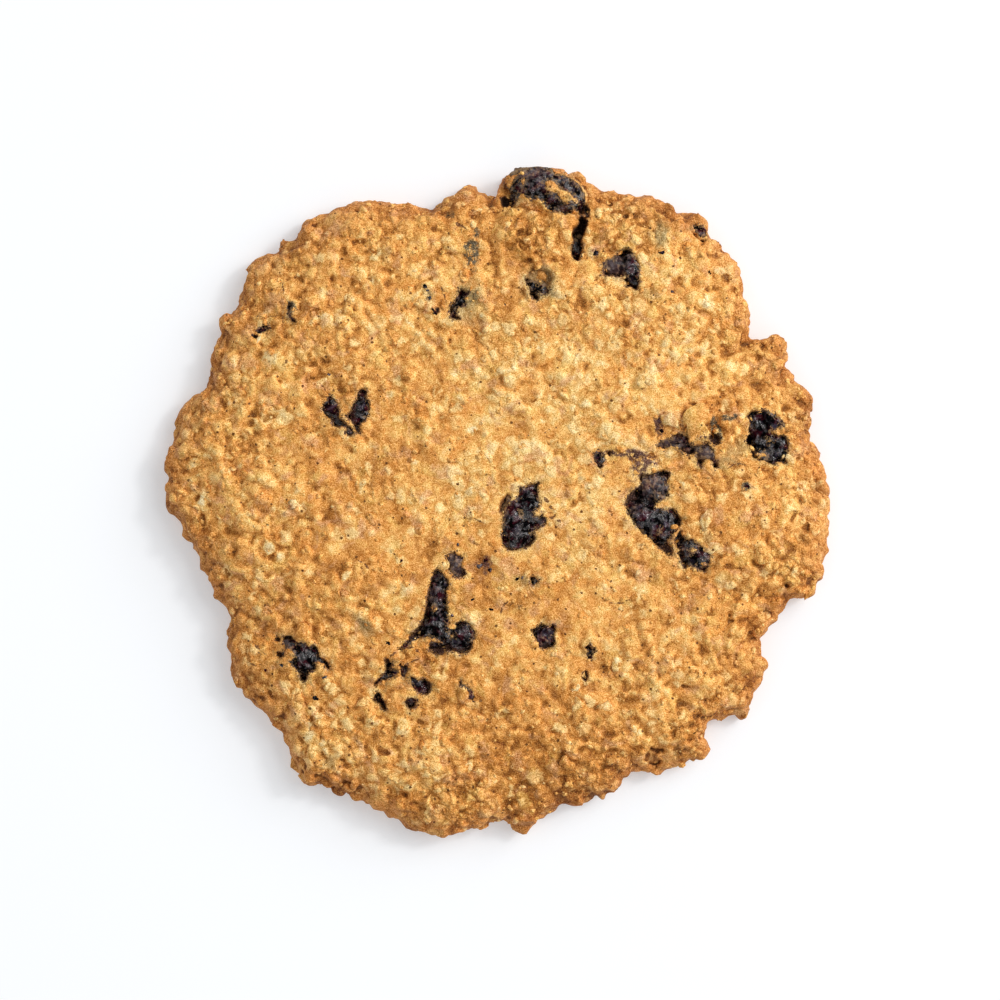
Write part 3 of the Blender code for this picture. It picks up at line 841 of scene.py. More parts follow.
# Broad lighter and darker zones, partly the biscuit's tone and partly painted shade and light that even out how the
# light falls across it: (x, y, radius, amount).
ZONES = (
    (36.38, -15.97, 12.8, -0.08),
    (33.38, -30.97, 9, -0.07),
    (29.77, 11.78, 2.1, 0.07),
    (26.62, -5.92, 9.8, -0.12),
    (34.88, -1.27, 8.2, -0.12),
    (4.88, 39.52, 6.9, -0.11),
    (-9.82, 44.32, 5.4, -0.15),
    # Painted shade near the cleft between the two back berries.
    (14.17, 38.02, 3.6, -0.28),
    (-13.12, -19.72, 6.8, -0.14),
    (-5.92, -10.57, 5.7, -0.14),
    (7.12, -14.47, 6.3, -0.19),
    (3.38, -39.67, 9.8, -0.18),
    (-1.88, -30.97, 17.2, -0.11),
    (13.88, -46.27, 12, -0.07),
    (5.62, -42.98, 6.8, -0.05),
    (21.38, 22.27, 9, 0.07),
    (-6.08, 0.53, 8.2, 0.17),
    (0.67, -20.18, 5.1, 0.21),
    (-9.07, -40.73, 7.2, 0.17),
    (-38.62, -0.22, 6.3, 0.08),
    (-21.38, -0.22, 9, -0.09),
    (14.17, -0.22, 8.2, 0.13),
    (15.38, -14.47, 6, 0.06),
    (-13.12, -37.73, 7.5, 0.08),
    (-22.88, -32.77, 7.2, 0.09),
    (34.12, 9.82, 6.5, -0.2),
    (18.38, 11.78, 16.5, 0.1),
    (6.38, 21.52, 13.5, 0.05),
    (-25.12, -17.47, 16.5, -0.05),
    (-40.12, -2.48, 10.5, -0.06),
    (43.88, 15.52, 4.2, -0.1),
    (-31.12, 38.02, 9, -0.06),
    (30.38, -20.47, 12, 0.05),
    (34.57, 34.27, 5.4, 0.14),
    (47.17, 0.53, 4.5, 0.16),
    (30.38, 17.32, 5.1, 0.09),
    (-11.62, -44.48, 13.5, -0.06),
    (-25.88, -42.98, 4.5, -0.1),
)
# Where the crust is crumbled: (x, y, radius, lumps).
CRAGS = (
    (6.08, 41.62, 5.4, 170, 1.5),
    (2.17, 47.32, 1.8, 25, 1.2),
    (3.38, 50.02, 1.5, 14, 1),
    (29.62, 12.97, 1.3, 26, 2.5),
    (29.77, 10.28, 1.3, 26, 2.5),
    (30.38, -34.73, 5.1, 60, 1.3),
    (43.88, -8.47, 4.2, 40, 1.3),
    (21.38, 43.27, 6, 40, 1.15),
    (40.88, 21.52, 3.3, 30, 1.2),
    (-25.12, -42.98, 4.5, 50, 1.3),
    (-39.38, 30.52, 3.3, 24, 1.15),
    (-7.12, -44.48, 6, 60, 1.2),
    (13.88, -39.98, 6, 50, 1.2),
)
# Bare oat flakes: (x, y, half size).
FLAKES = (
    (-24.82, -27.38, 0.75),
    (30.97, -2.62, 0.95),
    (-19.88, -29.47, 0.75),
    (11.92, -29.62, 0.75),
    (-30.38, -28.12, 0.8),
    (31.57, -6.67, 0.9),
    (-26.47, -31.42, 0.6),
    (17.32, 24.52, 0.8),
    (22.43, 18.52, 0.8),
    (25.43, 12.38, 0.95),
    (9.38, 30.52, 0.8),
    (-2.62, 7.72, 0.8),
    (-29.62, -0.22, 0.7),
    (12.07, -30.22, 0.8),
    (28.88, 29.02, 0.7),
    (-5.33, -17.47, 0.7),
    (16.12, -30.38, 1),
    (-22.12, 30.52, 0.8),
    (-14.92, 39.98, 0.8),
    (-35.92, 24.52, 0.7),
)

crust = merged_copy("dough", "crust")
cad_dough = BVHTree.FromObject(crust, bpy.context.evaluated_depsgraph_get())
berry_points = np.concatenate([points_of(berry) for berry in berries])
berry_trees = [BVHTree.FromObject(berry, bpy.context.evaluated_depsgraph_get()) for berry in berries]

# The level of the face without its pockets, on a grid: the pockets are filled from round about.
reach = math.ceil(0.053 / FIELD_STEP)
ticks = np.arange(-reach, reach + 1) * FIELD_STEP
field = np.full((len(ticks), len(ticks)), np.nan)
near_berry = kdtree.KDTree(len(berry_points))
for index, point in enumerate(berry_points):
    near_berry.insert((point[0], point[1], 0), index)
near_berry.balance()
filled = np.zeros_like(field, bool)
for i, x in enumerate(ticks):
    for j, y in enumerate(ticks):
        hit = cad_dough.ray_cast(Vector((x, y, 0.05)), Vector((0, 0, -1)))[0]
        field[i, j] = hit.z if hit is not None else 0
        filled[i, j] = near_berry.find((x, y, 0))[2] < 1.7 * MM and math.hypot(x, y) < 0.0475
field[filled] = np.mean(field[~filled & (field > 0.004)])
for _ in range(400):
    around = sum(np.roll(field, step, axis) for step in (1, -1) for axis in (0, 1)) / 4
    field[filled] = around[filled]


def face_level(x, y):
    """The level of the bare face, read between the grid's points."""
    u = np.clip((np.asarray(x) - ticks[0]) / FIELD_STEP, 0, len(ticks) - 1.001)
    v = np.clip((np.asarray(y) - ticks[0]) / FIELD_STEP, 0, len(ticks) - 1.001)
    i, j = u.astype(int), v.astype(int)
    u, v = u - i, v - j
    low = field[i, j] * (1 - u) + field[i + 1, j] * u
    high = field[i, j + 1] * (1 - u) + field[i + 1, j + 1] * u
    return low * (1 - v) + high * v


# The pockets are pushed flush, and the bare round is drawn in a little.
points = points_of(crust)
for index, point in enumerate(points):
    if point[2] > 1.0 * MM and near_berry.find((point[0], point[1], 0))[2] < 1.3 * MM:
        level = face_level(point[0], point[1])
        if math.hypot(point[0], point[1]) < 0.0475:
            points[index, 2] = level
points[:, :2] *= RIM_SHRINK
set_points(crust, points)
bare = BVHTree.FromObject(crust, bpy.context.evaluated_depsgraph_get())

# Every oat lump: its middle, its own axes as columns, its three half sizes and its paleness.
lump_rows = []


def add_lump(point, normal, half_sizes, rise, tilt, tone):
    """An oat lump whose top stands the given rise out of the bare round, tilted off its normal."""
    up = Vector(normal).normalized()
    lean = Vector(draw.normal(0, tilt, 3))
    up = (up + lean).normalized()
    side = up.orthogonal().normalized()
    side.rotate(Matrix.Rotation(draw.uniform(0, math.tau), 3, up))
    axes = np.array((side, up.cross(side), up)).T
    centre = np.array(point) - np.array(normal) * (half_sizes[2] - rise)
    lump_rows.append((centre, axes, half_sizes, tone))


def scatter_lumps(tries, half_low, half_high, crowding, flat, rise_middle, rise_rim, tilt):
    """Lumps all over the face, none nearer to another than the crowding lets it."""
    placed = {}
    cell_size = 4 * MM
    for _ in range(tries):
        x, y = draw.uniform(-0.052, 0.052, 2)
        half = draw.uniform(half_low, half_high) * MM
        outward = min(math.hypot(x, y) / 0.048, 1.0)
        clustered = noise.noise(Vector((x, y, half_low)) / (6 * MM)) + 1.5 * outward**3
        if face_level(x, y) < 2.4 * MM or clustered < 0.16:
            continue
        spacing = half * crowding
        cell = (int(x // cell_size), int(y // cell_size))
        crowd = [p for a in (-1, 0, 1) for b in (-1, 0, 1) for p in placed.get((cell[0] + a, cell[1] + b), ())]
        if any((x - px) ** 2 + (y - py) ** 2 < ((spacing + other) / 2) ** 2 for px, py, other in crowd):
            continue
        placed.setdefault(cell, []).append((x, y, spacing))
        hit, normal, _, _ = bare.ray_cast(Vector((x, y, 0.05)), Vector((0, 0, -1)))
        if hit is None or normal.z < 0.1:
            continue
        rise = (rise_middle + (rise_rim - rise_middle) * outward**3) * MM * draw.gamma(2.2, 0.45)
        sizes = (half * draw.uniform(1.0, 1.6), half, half * draw.uniform(*flat))
        add_lump(hit, normal, sizes, min(rise, sizes[2] * 0.9), tilt, draw.gamma(0.7, 1.6) - 1.1)


scatter_lumps(9_000, 1.2, 2.0, 1.6, (0.40, 0.70), 0.14, 1.10, 0.20)
scatter_lumps(30_000, 0.65, 1.15, 1.40, (0.30, 0.70), 0.09, 0.72, 0.30)
scatter_lumps(40_000, 0.38, 0.62, 1.9, (0.5, 0.9), 0.06, 0.36, 0.35)

for level, count in ((0.9, 150), (2.2, 165), (3.6, 160), (5.0, 150), (6.2, 130)):
    for number in range(count):
        turn = math.tau * (number + draw.uniform(-0.5, 0.5)) / count
        out = Vector((math.cos(turn), math.sin(turn), 0))
        start = out * 0.07 + Vector((0, 0, (level + draw.uniform(-0.6, 0.6)) * MM))
        hit, normal, _, _ = bare.ray_cast(start, -out)
        if hit is None:
            continue
        half = draw.uniform(0.5, 1.0) ** 2 * 2.0 * MM
        sizes = (half * draw.uniform(1, 1.5), half, half * draw.uniform(0.6, 0.95))
        add_lump(hit, normal, sizes, min(draw.gamma(2.0, 0.18) * MM, 0.5 * half), 0.2, draw.normal() - 0.5)

for x, y, half_length, half_width, turn, rise, tone in LUMPS:
    level = float(face_level(x * MM, y * MM))
    height = 0.75 * half_width * MM + 0.3 * MM
    place = Vector((x * MM, y * MM, level))
    centre = place + Vector((0, 0, rise * MM - height))
    axes = np.array(Matrix.Rotation(math.radians(turn), 3, "Z"))
    lump_rows.append((np.array(centre), axes, (half_length * MM, half_width * MM, height), 1.6 * tone))

for x, y, radius, count, top in CRAGS:
    for _ in range(count):
        turn, out = draw.uniform(0, math.tau), radius * math.sqrt(draw.uniform(0, 1))
        place = (x * MM + out * MM * math.cos(turn), y * MM + out * MM * math.sin(turn), 0.05)
        hit, normal, _, _ = bare.ray_cast(Vector(place), Vector((0, 0, -1)))
        if hit is not None:
            half = draw.uniform(0.35, 0.95) * MM
            sizes = (half * draw.uniform(1.0, 1.5), half, half * draw.uniform(0.6, 1.0))
            add_lump(hit, normal, sizes, draw.uniform(0.25, 1.0) * top * MM, 0.35, draw.normal() - 0.8)

lump_centres = np.array([row[0] for row in lump_rows])
lump_axes = np.array([row[1] for row in lump_rows])
lump_halves = np.array([row[2] for row in lump_rows])
lump_tones = np.array([row[3] for row in lump_rows])

bpy.ops.object.select_all(action="DESELECT")
bpy.ops.mesh.primitive_ico_sphere_add(subdivisions=2, radius=1)
ball = bpy.context.object
ball_points = points_of(ball)
ball_faces = np.array([list(face.vertices) for face in ball.data.polygons])
bpy.data.objects.remove(ball)


def many(name, centres, axes, halves, roughness=0.0):
    """One joined mesh of dented balls, each with its own middle, axes and half sizes."""
    count = len(centres)
    shapes = np.repeat(ball_points[None], count, 0)
    if roughness:
        wobble = draw.normal(0, roughness, (count, len(ball_points), 1))
        shapes = shapes * (1 + wobble)
    shapes = shapes * halves[:, None, :]
    shapes = np.einsum("nij,nkj->nki", axes, shapes) + centres[:, None, :]
    faces = ball_faces[None] + (np.arange(count) * len(ball_points))[:, None, None]
    mesh = bpy.data.meshes.new(name)
    mesh.from_pydata(shapes.reshape(-1, 3).tolist(), [], faces.reshape(-1, 3).tolist())
    made = bpy.data.objects.new(name, mesh)
    scene.collection.objects.link(made)
    return made


lumps = many("lumps", lump_centres, lump_axes, lump_halves, 0.15)
only(crust)
lumps.select_set(True)
bpy.ops.object.join()
apply_modifier(crust, "skin", "REMESH", mode="VOXEL", voxel_size=VOXEL, adaptivity=0)
apply_modifier(crust, "soften", "SMOOTH", factor=0.5, iterations=1)

# The sandy crumb of the crust.
for name, kind, size, strength in (
    ("swell", "CLOUDS", 5.0 * MM, 1.15 * MM), ("crumb", "VORONOI", 1.6 * MM, -0.09 * MM),
    ("sand", "CLOUDS", 0.7 * MM, 0.10 * MM),
):
    texture = bpy.data.textures.new(name, kind)
    texture.noise_scale = size
    apply_modifier(crust, name, "DISPLACE", texture=texture, texture_coords="LOCAL", strength=strength,
                   mid_level=0.5)


def outline_distance(places, outline):
    """How far each place lies outside an outline, in metres: less than nothing is inside."""
    corners = np.array(outline) * MM
    following = np.roll(corners, -1, 0)
    nearest = np.full(len(places), np.inf)
    inside = np.zeros(len(places), bool)
    for start, end in zip(corners, following):
        along = end - start
        share = np.clip((places - start) @ along / (along @ along), 0, 1)
        gap = np.hypot(*(places - start - share[:, None] * along).T)
        nearest = np.minimum(nearest, gap)
        crossed = (start[1] > places[:, 1]) != (end[1] > places[:, 1])
        rise = end[1] - start[1] if end[1] != start[1] else 1.0
        inside ^= crossed & (places[:, 0] < start[0] + along[0] * (places[:, 1] - start[1]) / rise)
    return np.where(inside, -nearest, nearest)


def least_distance(places, outlines, limit=4 * MM):
    """The least distance to any of several outlines, up to a limit."""
    least = np.full(len(places), limit)
    for outline in outlines:
        corners = np.array(outline) * MM
        low, high = corners.min(0) - limit, corners.max(0) + limit
        near = np.nonzero(np.all((places > low) & (places < high), axis=1))[0]
        least[near] = np.minimum(least[near], outline_distance(places[near], outline))
    return least


def shore_distance(points):
    """How far each point is from where a cranberry shows: less than nothing where it does."""
    outlines = [outline for several in SHOWN.values() for outline in several]
    shown_gap = least_distance(points[:, :2], outlines)
    covered_gap = least_distance(points[:, :2], COVERED)
    return np.maximum(shown_gap, -covered_gap)


# The cranberries show where they come up to the face, and the dough closes over the rest.
points, normals = points_of(crust), normals_of(crust)
upper = (points[:, 2] > 1.5 * MM) & (normals[:, 2] > 0.1)
shore = shore_distance(points) - 0.13 * MM
ragged = 0.18 * MM * noise_at(points, 1.0 * MM, 5.5) + 0.14 * MM * noise_at(points, 0.45 * MM, 9.5)
shore += ragged
skin_level = np.full(len(points), -1.0)
for berry, berry_tree in zip(berries, berry_trees):
    low, high = points_of(berry).min(0), points_of(berry).max(0)
    over = np.all((points[:, :2] > low[:2]) & (points[:, :2] < high[:2]), axis=1) & upper
    for index in np.nonzero(over)[0]:
        hit = berry_tree.ray_cast(Vector((points[index, 0], points[index, 1], 0.05)), Vector((0, 0, -1)))[0]
        if hit is not None:
            skin_level[index] = max(skin_level[index], hit.z)

OPEN_SIDE = 2.0
for berry in berries:
    depth_in = np.clip(-shore_distance(points_of(berry)) / MM, -0.5, 4.0)
    outer_side = normals_of(berry)[:, 2] < 0.15
    set_values(berry, "edge", np.where(outer_side, OPEN_SIDE, depth_in))

bared = np.clip(-shore / (0.30 * MM), 0, 1)
below = np.where(skin_level > 0, skin_level - 0.45 * MM, points[:, 2] - 1.3 * MM)
sunk = points[:, 2] + (np.minimum(points[:, 2], below) - points[:, 2]) * bared
cover = 0.10 * MM + 0.25 * np.clip(shore, 0, 1.2 * MM)
closed = np.where(skin_level > 0, np.maximum(points[:, 2], skin_level + cover), points[:, 2])
points[:, 2] = np.where(upper, np.where(shore < 0, sunk, closed), points[:, 2])

for deep, dark, outline in PITS:
    gap = least_distance(points[:, :2], (outline,)) + 2.0 * ragged
    points[:, 2] -= np.where(upper, deep * MM * np.clip(-gap / (0.45 * MM), 0, 1), 0)

points[:, 2] = np.where(points[:, 2] < 0.25 * MM, 0.0, points[:, 2])
set_points(crust, inside_box(points))

triangles = sum(len(face.vertices) - 2 for face in crust.data.polygons)
apply_modifier(crust, "thin", "DECIMATE", ratio=min(1.0, CRUST_TRIANGLES / triangles))
crust.data.shade_smooth()
points, normals = points_of(crust), normals_of(crust)
crust_tree = BVHTree.FromObject(crust, bpy.context.evaluated_depsgraph_get())

# What the finish follows: each point's lump, how far it is baked, its stain and its creases.
lump_tree = kdtree.KDTree(len(lump_centres))
for index, centre in enumerate(lump_centres):
    lump_tree.insert(centre, index)
lump_tree.balance()
NEAREST = 5
nearest = np.array([[found[1] for found in lump_tree.find_n(point, NEAREST)] for point in points])
local = np.einsum("nkji,nkj->nki", lump_axes[nearest], points[:, None, :] - lump_centres[nearest])
inside = np.linalg.norm(local / lump_halves[nearest], axis=2)
closest = inside.argmin(1)
rows = np.arange(len(points))
set_values(crust, "on_lump", np.clip((1.35 - inside[rows, closest]) / 0.4, 0, 1))
set_values(crust, "tone", lump_tones[nearest[rows, closest]])

edges = np.empty(len(crust.data.edges) * 2, np.int32)
crust.data.edges.foreach_get("vertices", edges)
edges = edges.reshape(-1, 2)
degree = np.bincount(edges.ravel(), minlength=len(points)).astype(float)


def softened(values, rounds):
    """Values averaged with their neighbours' over the mesh, a number of times."""
    values = values.copy()
    for _ in range(rounds):
        for column in range(values.shape[1]):
            total = np.bincount(edges[:, 0], values[edges[:, 1], column], len(points))
            total += np.bincount(edges[:, 1], values[edges[:, 0], column], len(points))
            values[:, column] = 0.5 * values[:, column] + 0.5 * total / degree
    return values


def in_patches(patches):
    """How strongly the listed patches mark each point, softly to their edges."""
    strength = np.zeros(len(points))
    wobble = 1 + 0.35 * blot
    for x, y, half_length, half_width, turn, share in patches:
        turned = math.radians(turn)
        across, up = points[:, 0] - x * MM, points[:, 1] - y * MM
        along = (across * math.cos(turned) + up * math.sin(turned)) / (half_length * MM)
        aside = (up * math.cos(turned) - across * math.sin(turned)) / (half_width * MM)
        strength = np.maximum(strength, share * np.clip(1.8 - 1.2 * np.hypot(along, aside) * wobble, 0, 1))
    return np.where(upper, strength, 0)


upper = (points[:, 2] > 1.5 * MM) & (normals[:, 2] > 0.0)
blot = noise_at(points, 0.8 * MM, 2.5)
# How far each point lies down in a hollow; the finish paints shade into hollows and light onto tops from it.
hollow = np.einsum("ij,ij->i", softened(points, 14) - points, normals) / (0.12 * MM)
set_values(crust, "crease", np.clip(hollow, -1.0, 3.0))
angles, radii = np.arctan2(points[:, 1], points[:, 0]), np.hypot(points[:, 0], points[:, 1])
sectors = ((angles + math.pi) / math.tau * 180).astype(int) % 180
rim_radii = np.array([radii[sectors == sector].max() for sector in range(180)])
middles = (np.arange(-1, 181) + 0.5) / 180 * math.tau - math.pi
rim_gap = np.interp(angles, middles, np.concatenate((rim_radii[-1:], rim_radii, rim_radii[:1]))) - radii
bake = np.clip(1 - rim_gap / (5.5 * MM), 0, 1)
set_values(crust, "bake", bake)
crag = 0.25 + 0.35 * np.clip(1 - rim_gap / (14 * MM), 0, 1) + 0.45 * noise_at(points, 9 * MM, 4.5)
for x, y, radius, count, top in CRAGS:
    gap = np.hypot(points[:, 0] - x * MM, points[:, 1] - y * MM) / (radius * MM)
    crag = np.maximum(crag, 1.5 - gap)
set_values(crust, "crag", np.clip(crag, 0, 1))
set_values(crust, "shore", np.where(upper, shore_distance(points), 4 * MM) / MM)
set_values(crust, "film", in_patches(FILMS))
set_values(crust, "soot", in_patches(SOOTY))
set_values(crust, "ashen", in_patches(ASHEN))
zone = np.zeros(len(points))
for x, y, radius, amount in ZONES:
    gap = np.hypot(points[:, 0] - x * MM, points[:, 1] - y * MM) / (radius * MM)
    zone += amount * np.exp(-gap * gap)
set_values(crust, "zone", zone)
pit = np.zeros(len(points))
for deep, dark, outline in PITS:
    gap = least_distance(points[:, :2], (outline,), 1.0 * MM)
    pit = np.maximum(pit, dark * np.clip(0.5 - gap / (0.6 * MM), 0, 1))
set_values(crust, "pit", np.where(upper, pit, 0.0))

# Fine cracks: each point near one holds how far it is to its side, and how wide it is there.
aside = np.full(len(points), 1.0)
width = np.zeros(len(points))
gap_so_far = np.full(len(points), 0.9)
flat_points = points[:, :2] / MM
for half, line in CRACKS:
    corners = np.array(line)
    near = np.nonzero(np.all(np.abs(flat_points - corners.mean(0)) < np.ptp(corners, 0) / 2 + 1, axis=1) & upper)[0]
    for start, end in zip(corners[:-1], corners[1:]):
        along = (end - start) / np.linalg.norm(end - start)
        length = np.linalg.norm(end - start)
        offset = flat_points[near] - start
        reached = offset @ along
        to_side = offset @ np.array((-along[1], along[0]))
        beyond = np.maximum(np.maximum(-reached, reached - length), 0)
        gap = np.hypot(to_side, beyond)
        better = gap < gap_so_far[near]
        chosen = near[better]
        gap_so_far[chosen] = gap[better]
        aside[chosen] = to_side[better]
        width[chosen] = half * np.clip(1.3 - beyond[better] / 0.35, 0, 1)
set_values(crust, "crack_aside", aside)
set_values(crust, "crack_width", width)


def ramped(nodes, value, stops):
    """Colours blended along a value: each stop is a place from 0 to 1 and a colour."""
    made = nodes.nodes.new("ShaderNodeValToRGB")
    nodes.links.new(value, made.inputs["Fac"])
    ramp = made.color_ramp
    while len(ramp.elements) < len(stops):
        ramp.elements.new(0.5)
    for element, (position, colour) in zip(ramp.elements, stops):
        element.position = position
        element.color = (*colour, 1)
    return made.outputs["Color"]


def cells_in(nodes, place, spacing, feature="F1"):
    made = nodes.nodes.new("ShaderNodeTexVoronoi")
    made.feature = feature
    nodes.links.new(place, made.inputs["Vector"])
    made.inputs["Scale"].default_value = 1 / spacing
    return made


crust_paint = bpy.data.materials.new("baked_crust")
nodes = tree(crust_paint)
surface = nodes.nodes["Principled BSDF"]
place = nodes.nodes.new("ShaderNodeTexCoord").outputs["Object"]
shore = value_of(nodes, "shore")
crag = value_of(nodes, "crag")
bake = value_of(nodes, "bake")
blotch = speckle(nodes, place, 12 * MM, 2, 0.5)
patch = speckle(nodes, place, 3.6 * MM, 3, 0.6, 0.4)
nugget = speckle(nodes, place, 1.5 * MM, 2, 0.5, 0.3)
uneven = warped(nodes, place, 1.1 * MM, 1.3 * MM)

# Oats packed in the crust: each cell has its own tone, and narrow crevice lines part them, with shade painted in
# them.
oats = cells_in(nodes, uneven, 1.9 * MM)
oat_edge = cells_in(nodes, uneven, 1.9 * MM, "DISTANCE_TO_EDGE").outputs["Distance"]
oat_chance = add(nodes, "ShaderNodeSeparateColor", Color=oats.outputs["Color"])
oat_dome = ranged(nodes, oat_edge, 0.0, 0.34)
crease = value_of(nodes, "crease")
crease_shade = maths(nodes, "MULTIPLY", crease, ranged(nodes, bake, 0.0, 1.0, 1.0, 1.7))
crevice_shade = maths(nodes, "MULTIPLY", ranged(nodes, oat_edge, 0.0, 0.12, 1, 0), crag)
lump_tone = maths(nodes, "MULTIPLY", value_of(nodes, "on_lump"), value_of(nodes, "tone"))
# The crease share paints shade into hollows and a little light onto tops.
bakedness = summed(
    nodes, 0.57,
    (blotch, 0.5, 0.45), (patch, 0.5, 0.72), (nugget, 0.5, 0.32),
    (oat_chance.outputs[0], 0.5, 0.15), (oat_dome, 0.7, 0.08),
    (lump_tone, 0.0, 0.075), (crease, 0.0, -0.10), (bake, 0.0, -0.21),
    (value_of(nodes, "zone"), 0.0, 1.0),
)
colour = ramped(nodes, bakedness, (
    (0.0, shown(112, 60, 12)), (0.18, shown(163, 101, 38)), (0.36, shown(208, 139, 66)),
    (0.50, shown(232, 163, 85)), (0.64, shown(246, 187, 105)), (0.80, shown(254, 211, 138)),
    (1.0, shown(255, 227, 170)),
))
toasted = ranged(nodes, speckle(nodes, place, 4.0 * MM, 4, 0.65, 0.4), 0.50, 0.66, 0, 0.5)
colour = mixed(nodes, toasted, colour, shown(234, 150, 68))
buttery = ranged(nodes, speckle(nodes, uneven, 3.2 * MM, 3, 0.6, 0.3), 0.53, 0.68, 0, 0.5)
colour = mixed(nodes, buttery, colour, shown(250, 202, 112))
bare_oat = maths(nodes, "MULTIPLY", ranged(nodes, oat_edge, 0.02, 0.26), ranged(nodes, oat_chance.outputs[1], 0.74, 0.96, 0, 0.70))
colour = mixed(nodes, maths(nodes, "MULTIPLY", bare_oat, ranged(nodes, bake, 0.0, 1.0, 1.0, 0.4)), colour, shown(255, 220, 152))
glaze = maths(nodes, "MULTIPLY", ranged(nodes, oat_dome, 0.3, 0.9, 1, 0.35),
              ranged(nodes, speckle(nodes, place, 2.8 * MM, 2, 0.5, 0.5), 0.54, 0.70, 0, 0.55))
colour = mixed(nodes, glaze, colour, shown(216, 158, 116))
# Painted shade in the crevice lines between the oats and down in the creases, stronger towards the rim.
deep = maths(nodes, "MAXIMUM", maths(nodes, "MULTIPLY", crevice_shade, 0.6), ranged(nodes, crease_shade, 0.6, 1.8, 0, 0.8))
colour = mixed(nodes, deep, colour, shown(140, 84, 24))
colour = mixed(nodes, ranged(nodes, crease_shade, 1.5, 3.0, 0, 0.8), colour, shown(86, 50, 14))

# The outermost rim is browned the most.
colour = mixed(nodes, ranged(nodes, bake, 0.0, 1.0, 0.0, 0.26), colour, shown(178, 104, 58))

# Round the cranberries: a thin dark edge, painted shade at the seam and partly dried juice, then a greyish cream
# halo of dried juice.
halo_edge = maths(nodes, "MULTIPLY_ADD", speckle(nodes, place, 1.3 * MM, 3, 0.6), 5.0, -1.6)
halo = ranged(nodes, maths(nodes, "SUBTRACT", halo_edge, shore), -0.2, 1.6, 0, 0.38)
colour = mixed(nodes, halo, colour, shown(226, 178, 104))
grey_spots = maths(nodes, "MULTIPLY", halo, ranged(nodes, speckle(nodes, place, 0.7 * MM, 2), 0.42, 0.62, 0, 1.6))
colour = mixed(nodes, grey_spots, colour, shown(152, 124, 80))
ashen_share = maths(nodes, "MULTIPLY", value_of(nodes, "ashen"), ranged(nodes, patch, 0.3, 0.6, 0.4, 1))
colour = mixed(nodes, ashen_share, colour, shown(158, 136, 92))
film_edge = maths(nodes, "MULTIPLY_ADD", speckle(nodes, place, 0.9 * MM, 3, 0.65), 3.4, -1.75)
film_share = ranged(nodes, maths(nodes, "SUBTRACT", film_edge, shore), -0.15, 0.35, 0, 0.7)
colour = mixed(nodes, film_share, colour, shown(132, 96, 80))
spotted = ranged(nodes, speckle(nodes, place, 0.7 * MM, 4, 0.75), 0.28, 0.66)
film = maths(nodes, "MULTIPLY", value_of(nodes, "film"), spotted)
colour = mixed(nodes, ranged(nodes, film, 0.05, 0.62, 0, 0.88), colour, shown(78, 50, 46))
sooty = maths(nodes, "MULTIPLY", value_of(nodes, "soot"), spotted)
colour = mixed(nodes, ranged(nodes, sooty, 0.08, 0.6, 0, 0.85), colour, shown(72, 66, 54))
# The thin dark edge: painted shade where the dough meets the fruit, partly dried juice.
border_edge = maths(nodes, "MULTIPLY_ADD", speckle(nodes, place, 0.40 * MM, 3, 0.7), 3.4, -1.62)
seam_shade = ranged(nodes, maths(nodes, "SUBTRACT", border_edge, shore), -0.05, 0.22, 0, 0.85)
colour = mixed(nodes, seam_shade, colour, shown(60, 36, 28))

# Cracks, pitted hollows with painted shade in them, and the small dark holes that steam left.
edge_noise = maths(nodes, "MULTIPLY_ADD", speckle(nodes, place, 0.45 * MM, 2), 0.36, -0.18)
crack_gap = maths(nodes, "ADD", maths(nodes, "ABSOLUTE", value_of(nodes, "crack_aside")), edge_noise)
crack_half = maths(nodes, "MULTIPLY", value_of(nodes, "crack_width"),
                   ranged(nodes, speckle(nodes, place, 0.8 * MM, 2), 0.35, 0.65, 0.1, 2.0))
cracks = ranged(nodes, maths(nodes, "SUBTRACT", crack_half, crack_gap), -0.05, 0.06)
pit_share = maths(nodes, "MULTIPLY_ADD", speckle(nodes, place, 0.5 * MM, 3, 0.6), 1.0, 0.5)
pit_shade = ranged(nodes, maths(nodes, "MULTIPLY", value_of(nodes, "pit"), pit_share), 0.12, 0.85)
pore_cells = cells_in(nodes, warped(nodes, place, 0.35 * MM, 0.30 * MM), 1.15 * MM)
pore_chance = add(nodes, "ShaderNodeSeparateColor", Color=pore_cells.outputs["Color"])
pore_zone = speckle(nodes, place, 5 * MM, 2)
pore_size = ranged(nodes, maths(nodes, "MULTIPLY_ADD", pore_zone, 0.9, pore_chance.outputs[0]), 0.86, 1.4, 0, 0.19)
pores = ranged(nodes, maths(nodes, "SUBTRACT", pore_size, pore_cells.outputs["Distance"]), -0.04, 0.05)
# Painted shade in the hollows: brown at their edges, near black where they are deepest.
colour = mixed(nodes, ranged(nodes, pit_shade, 0.0, 0.55, 0, 0.8), colour, shown(128, 80, 42))
colour = mixed(nodes, ranged(nodes, pit_shade, 0.50, 0.95, 0, 0.90), colour, shown(46, 28, 18))
colour = mixed(nodes, maths(nodes, "MULTIPLY", cracks, 0.75), colour, shown(92, 56, 30))
colour = mixed(nodes, maths(nodes, "MULTIPLY", pores, 0.88), colour, shown(98, 58, 18))

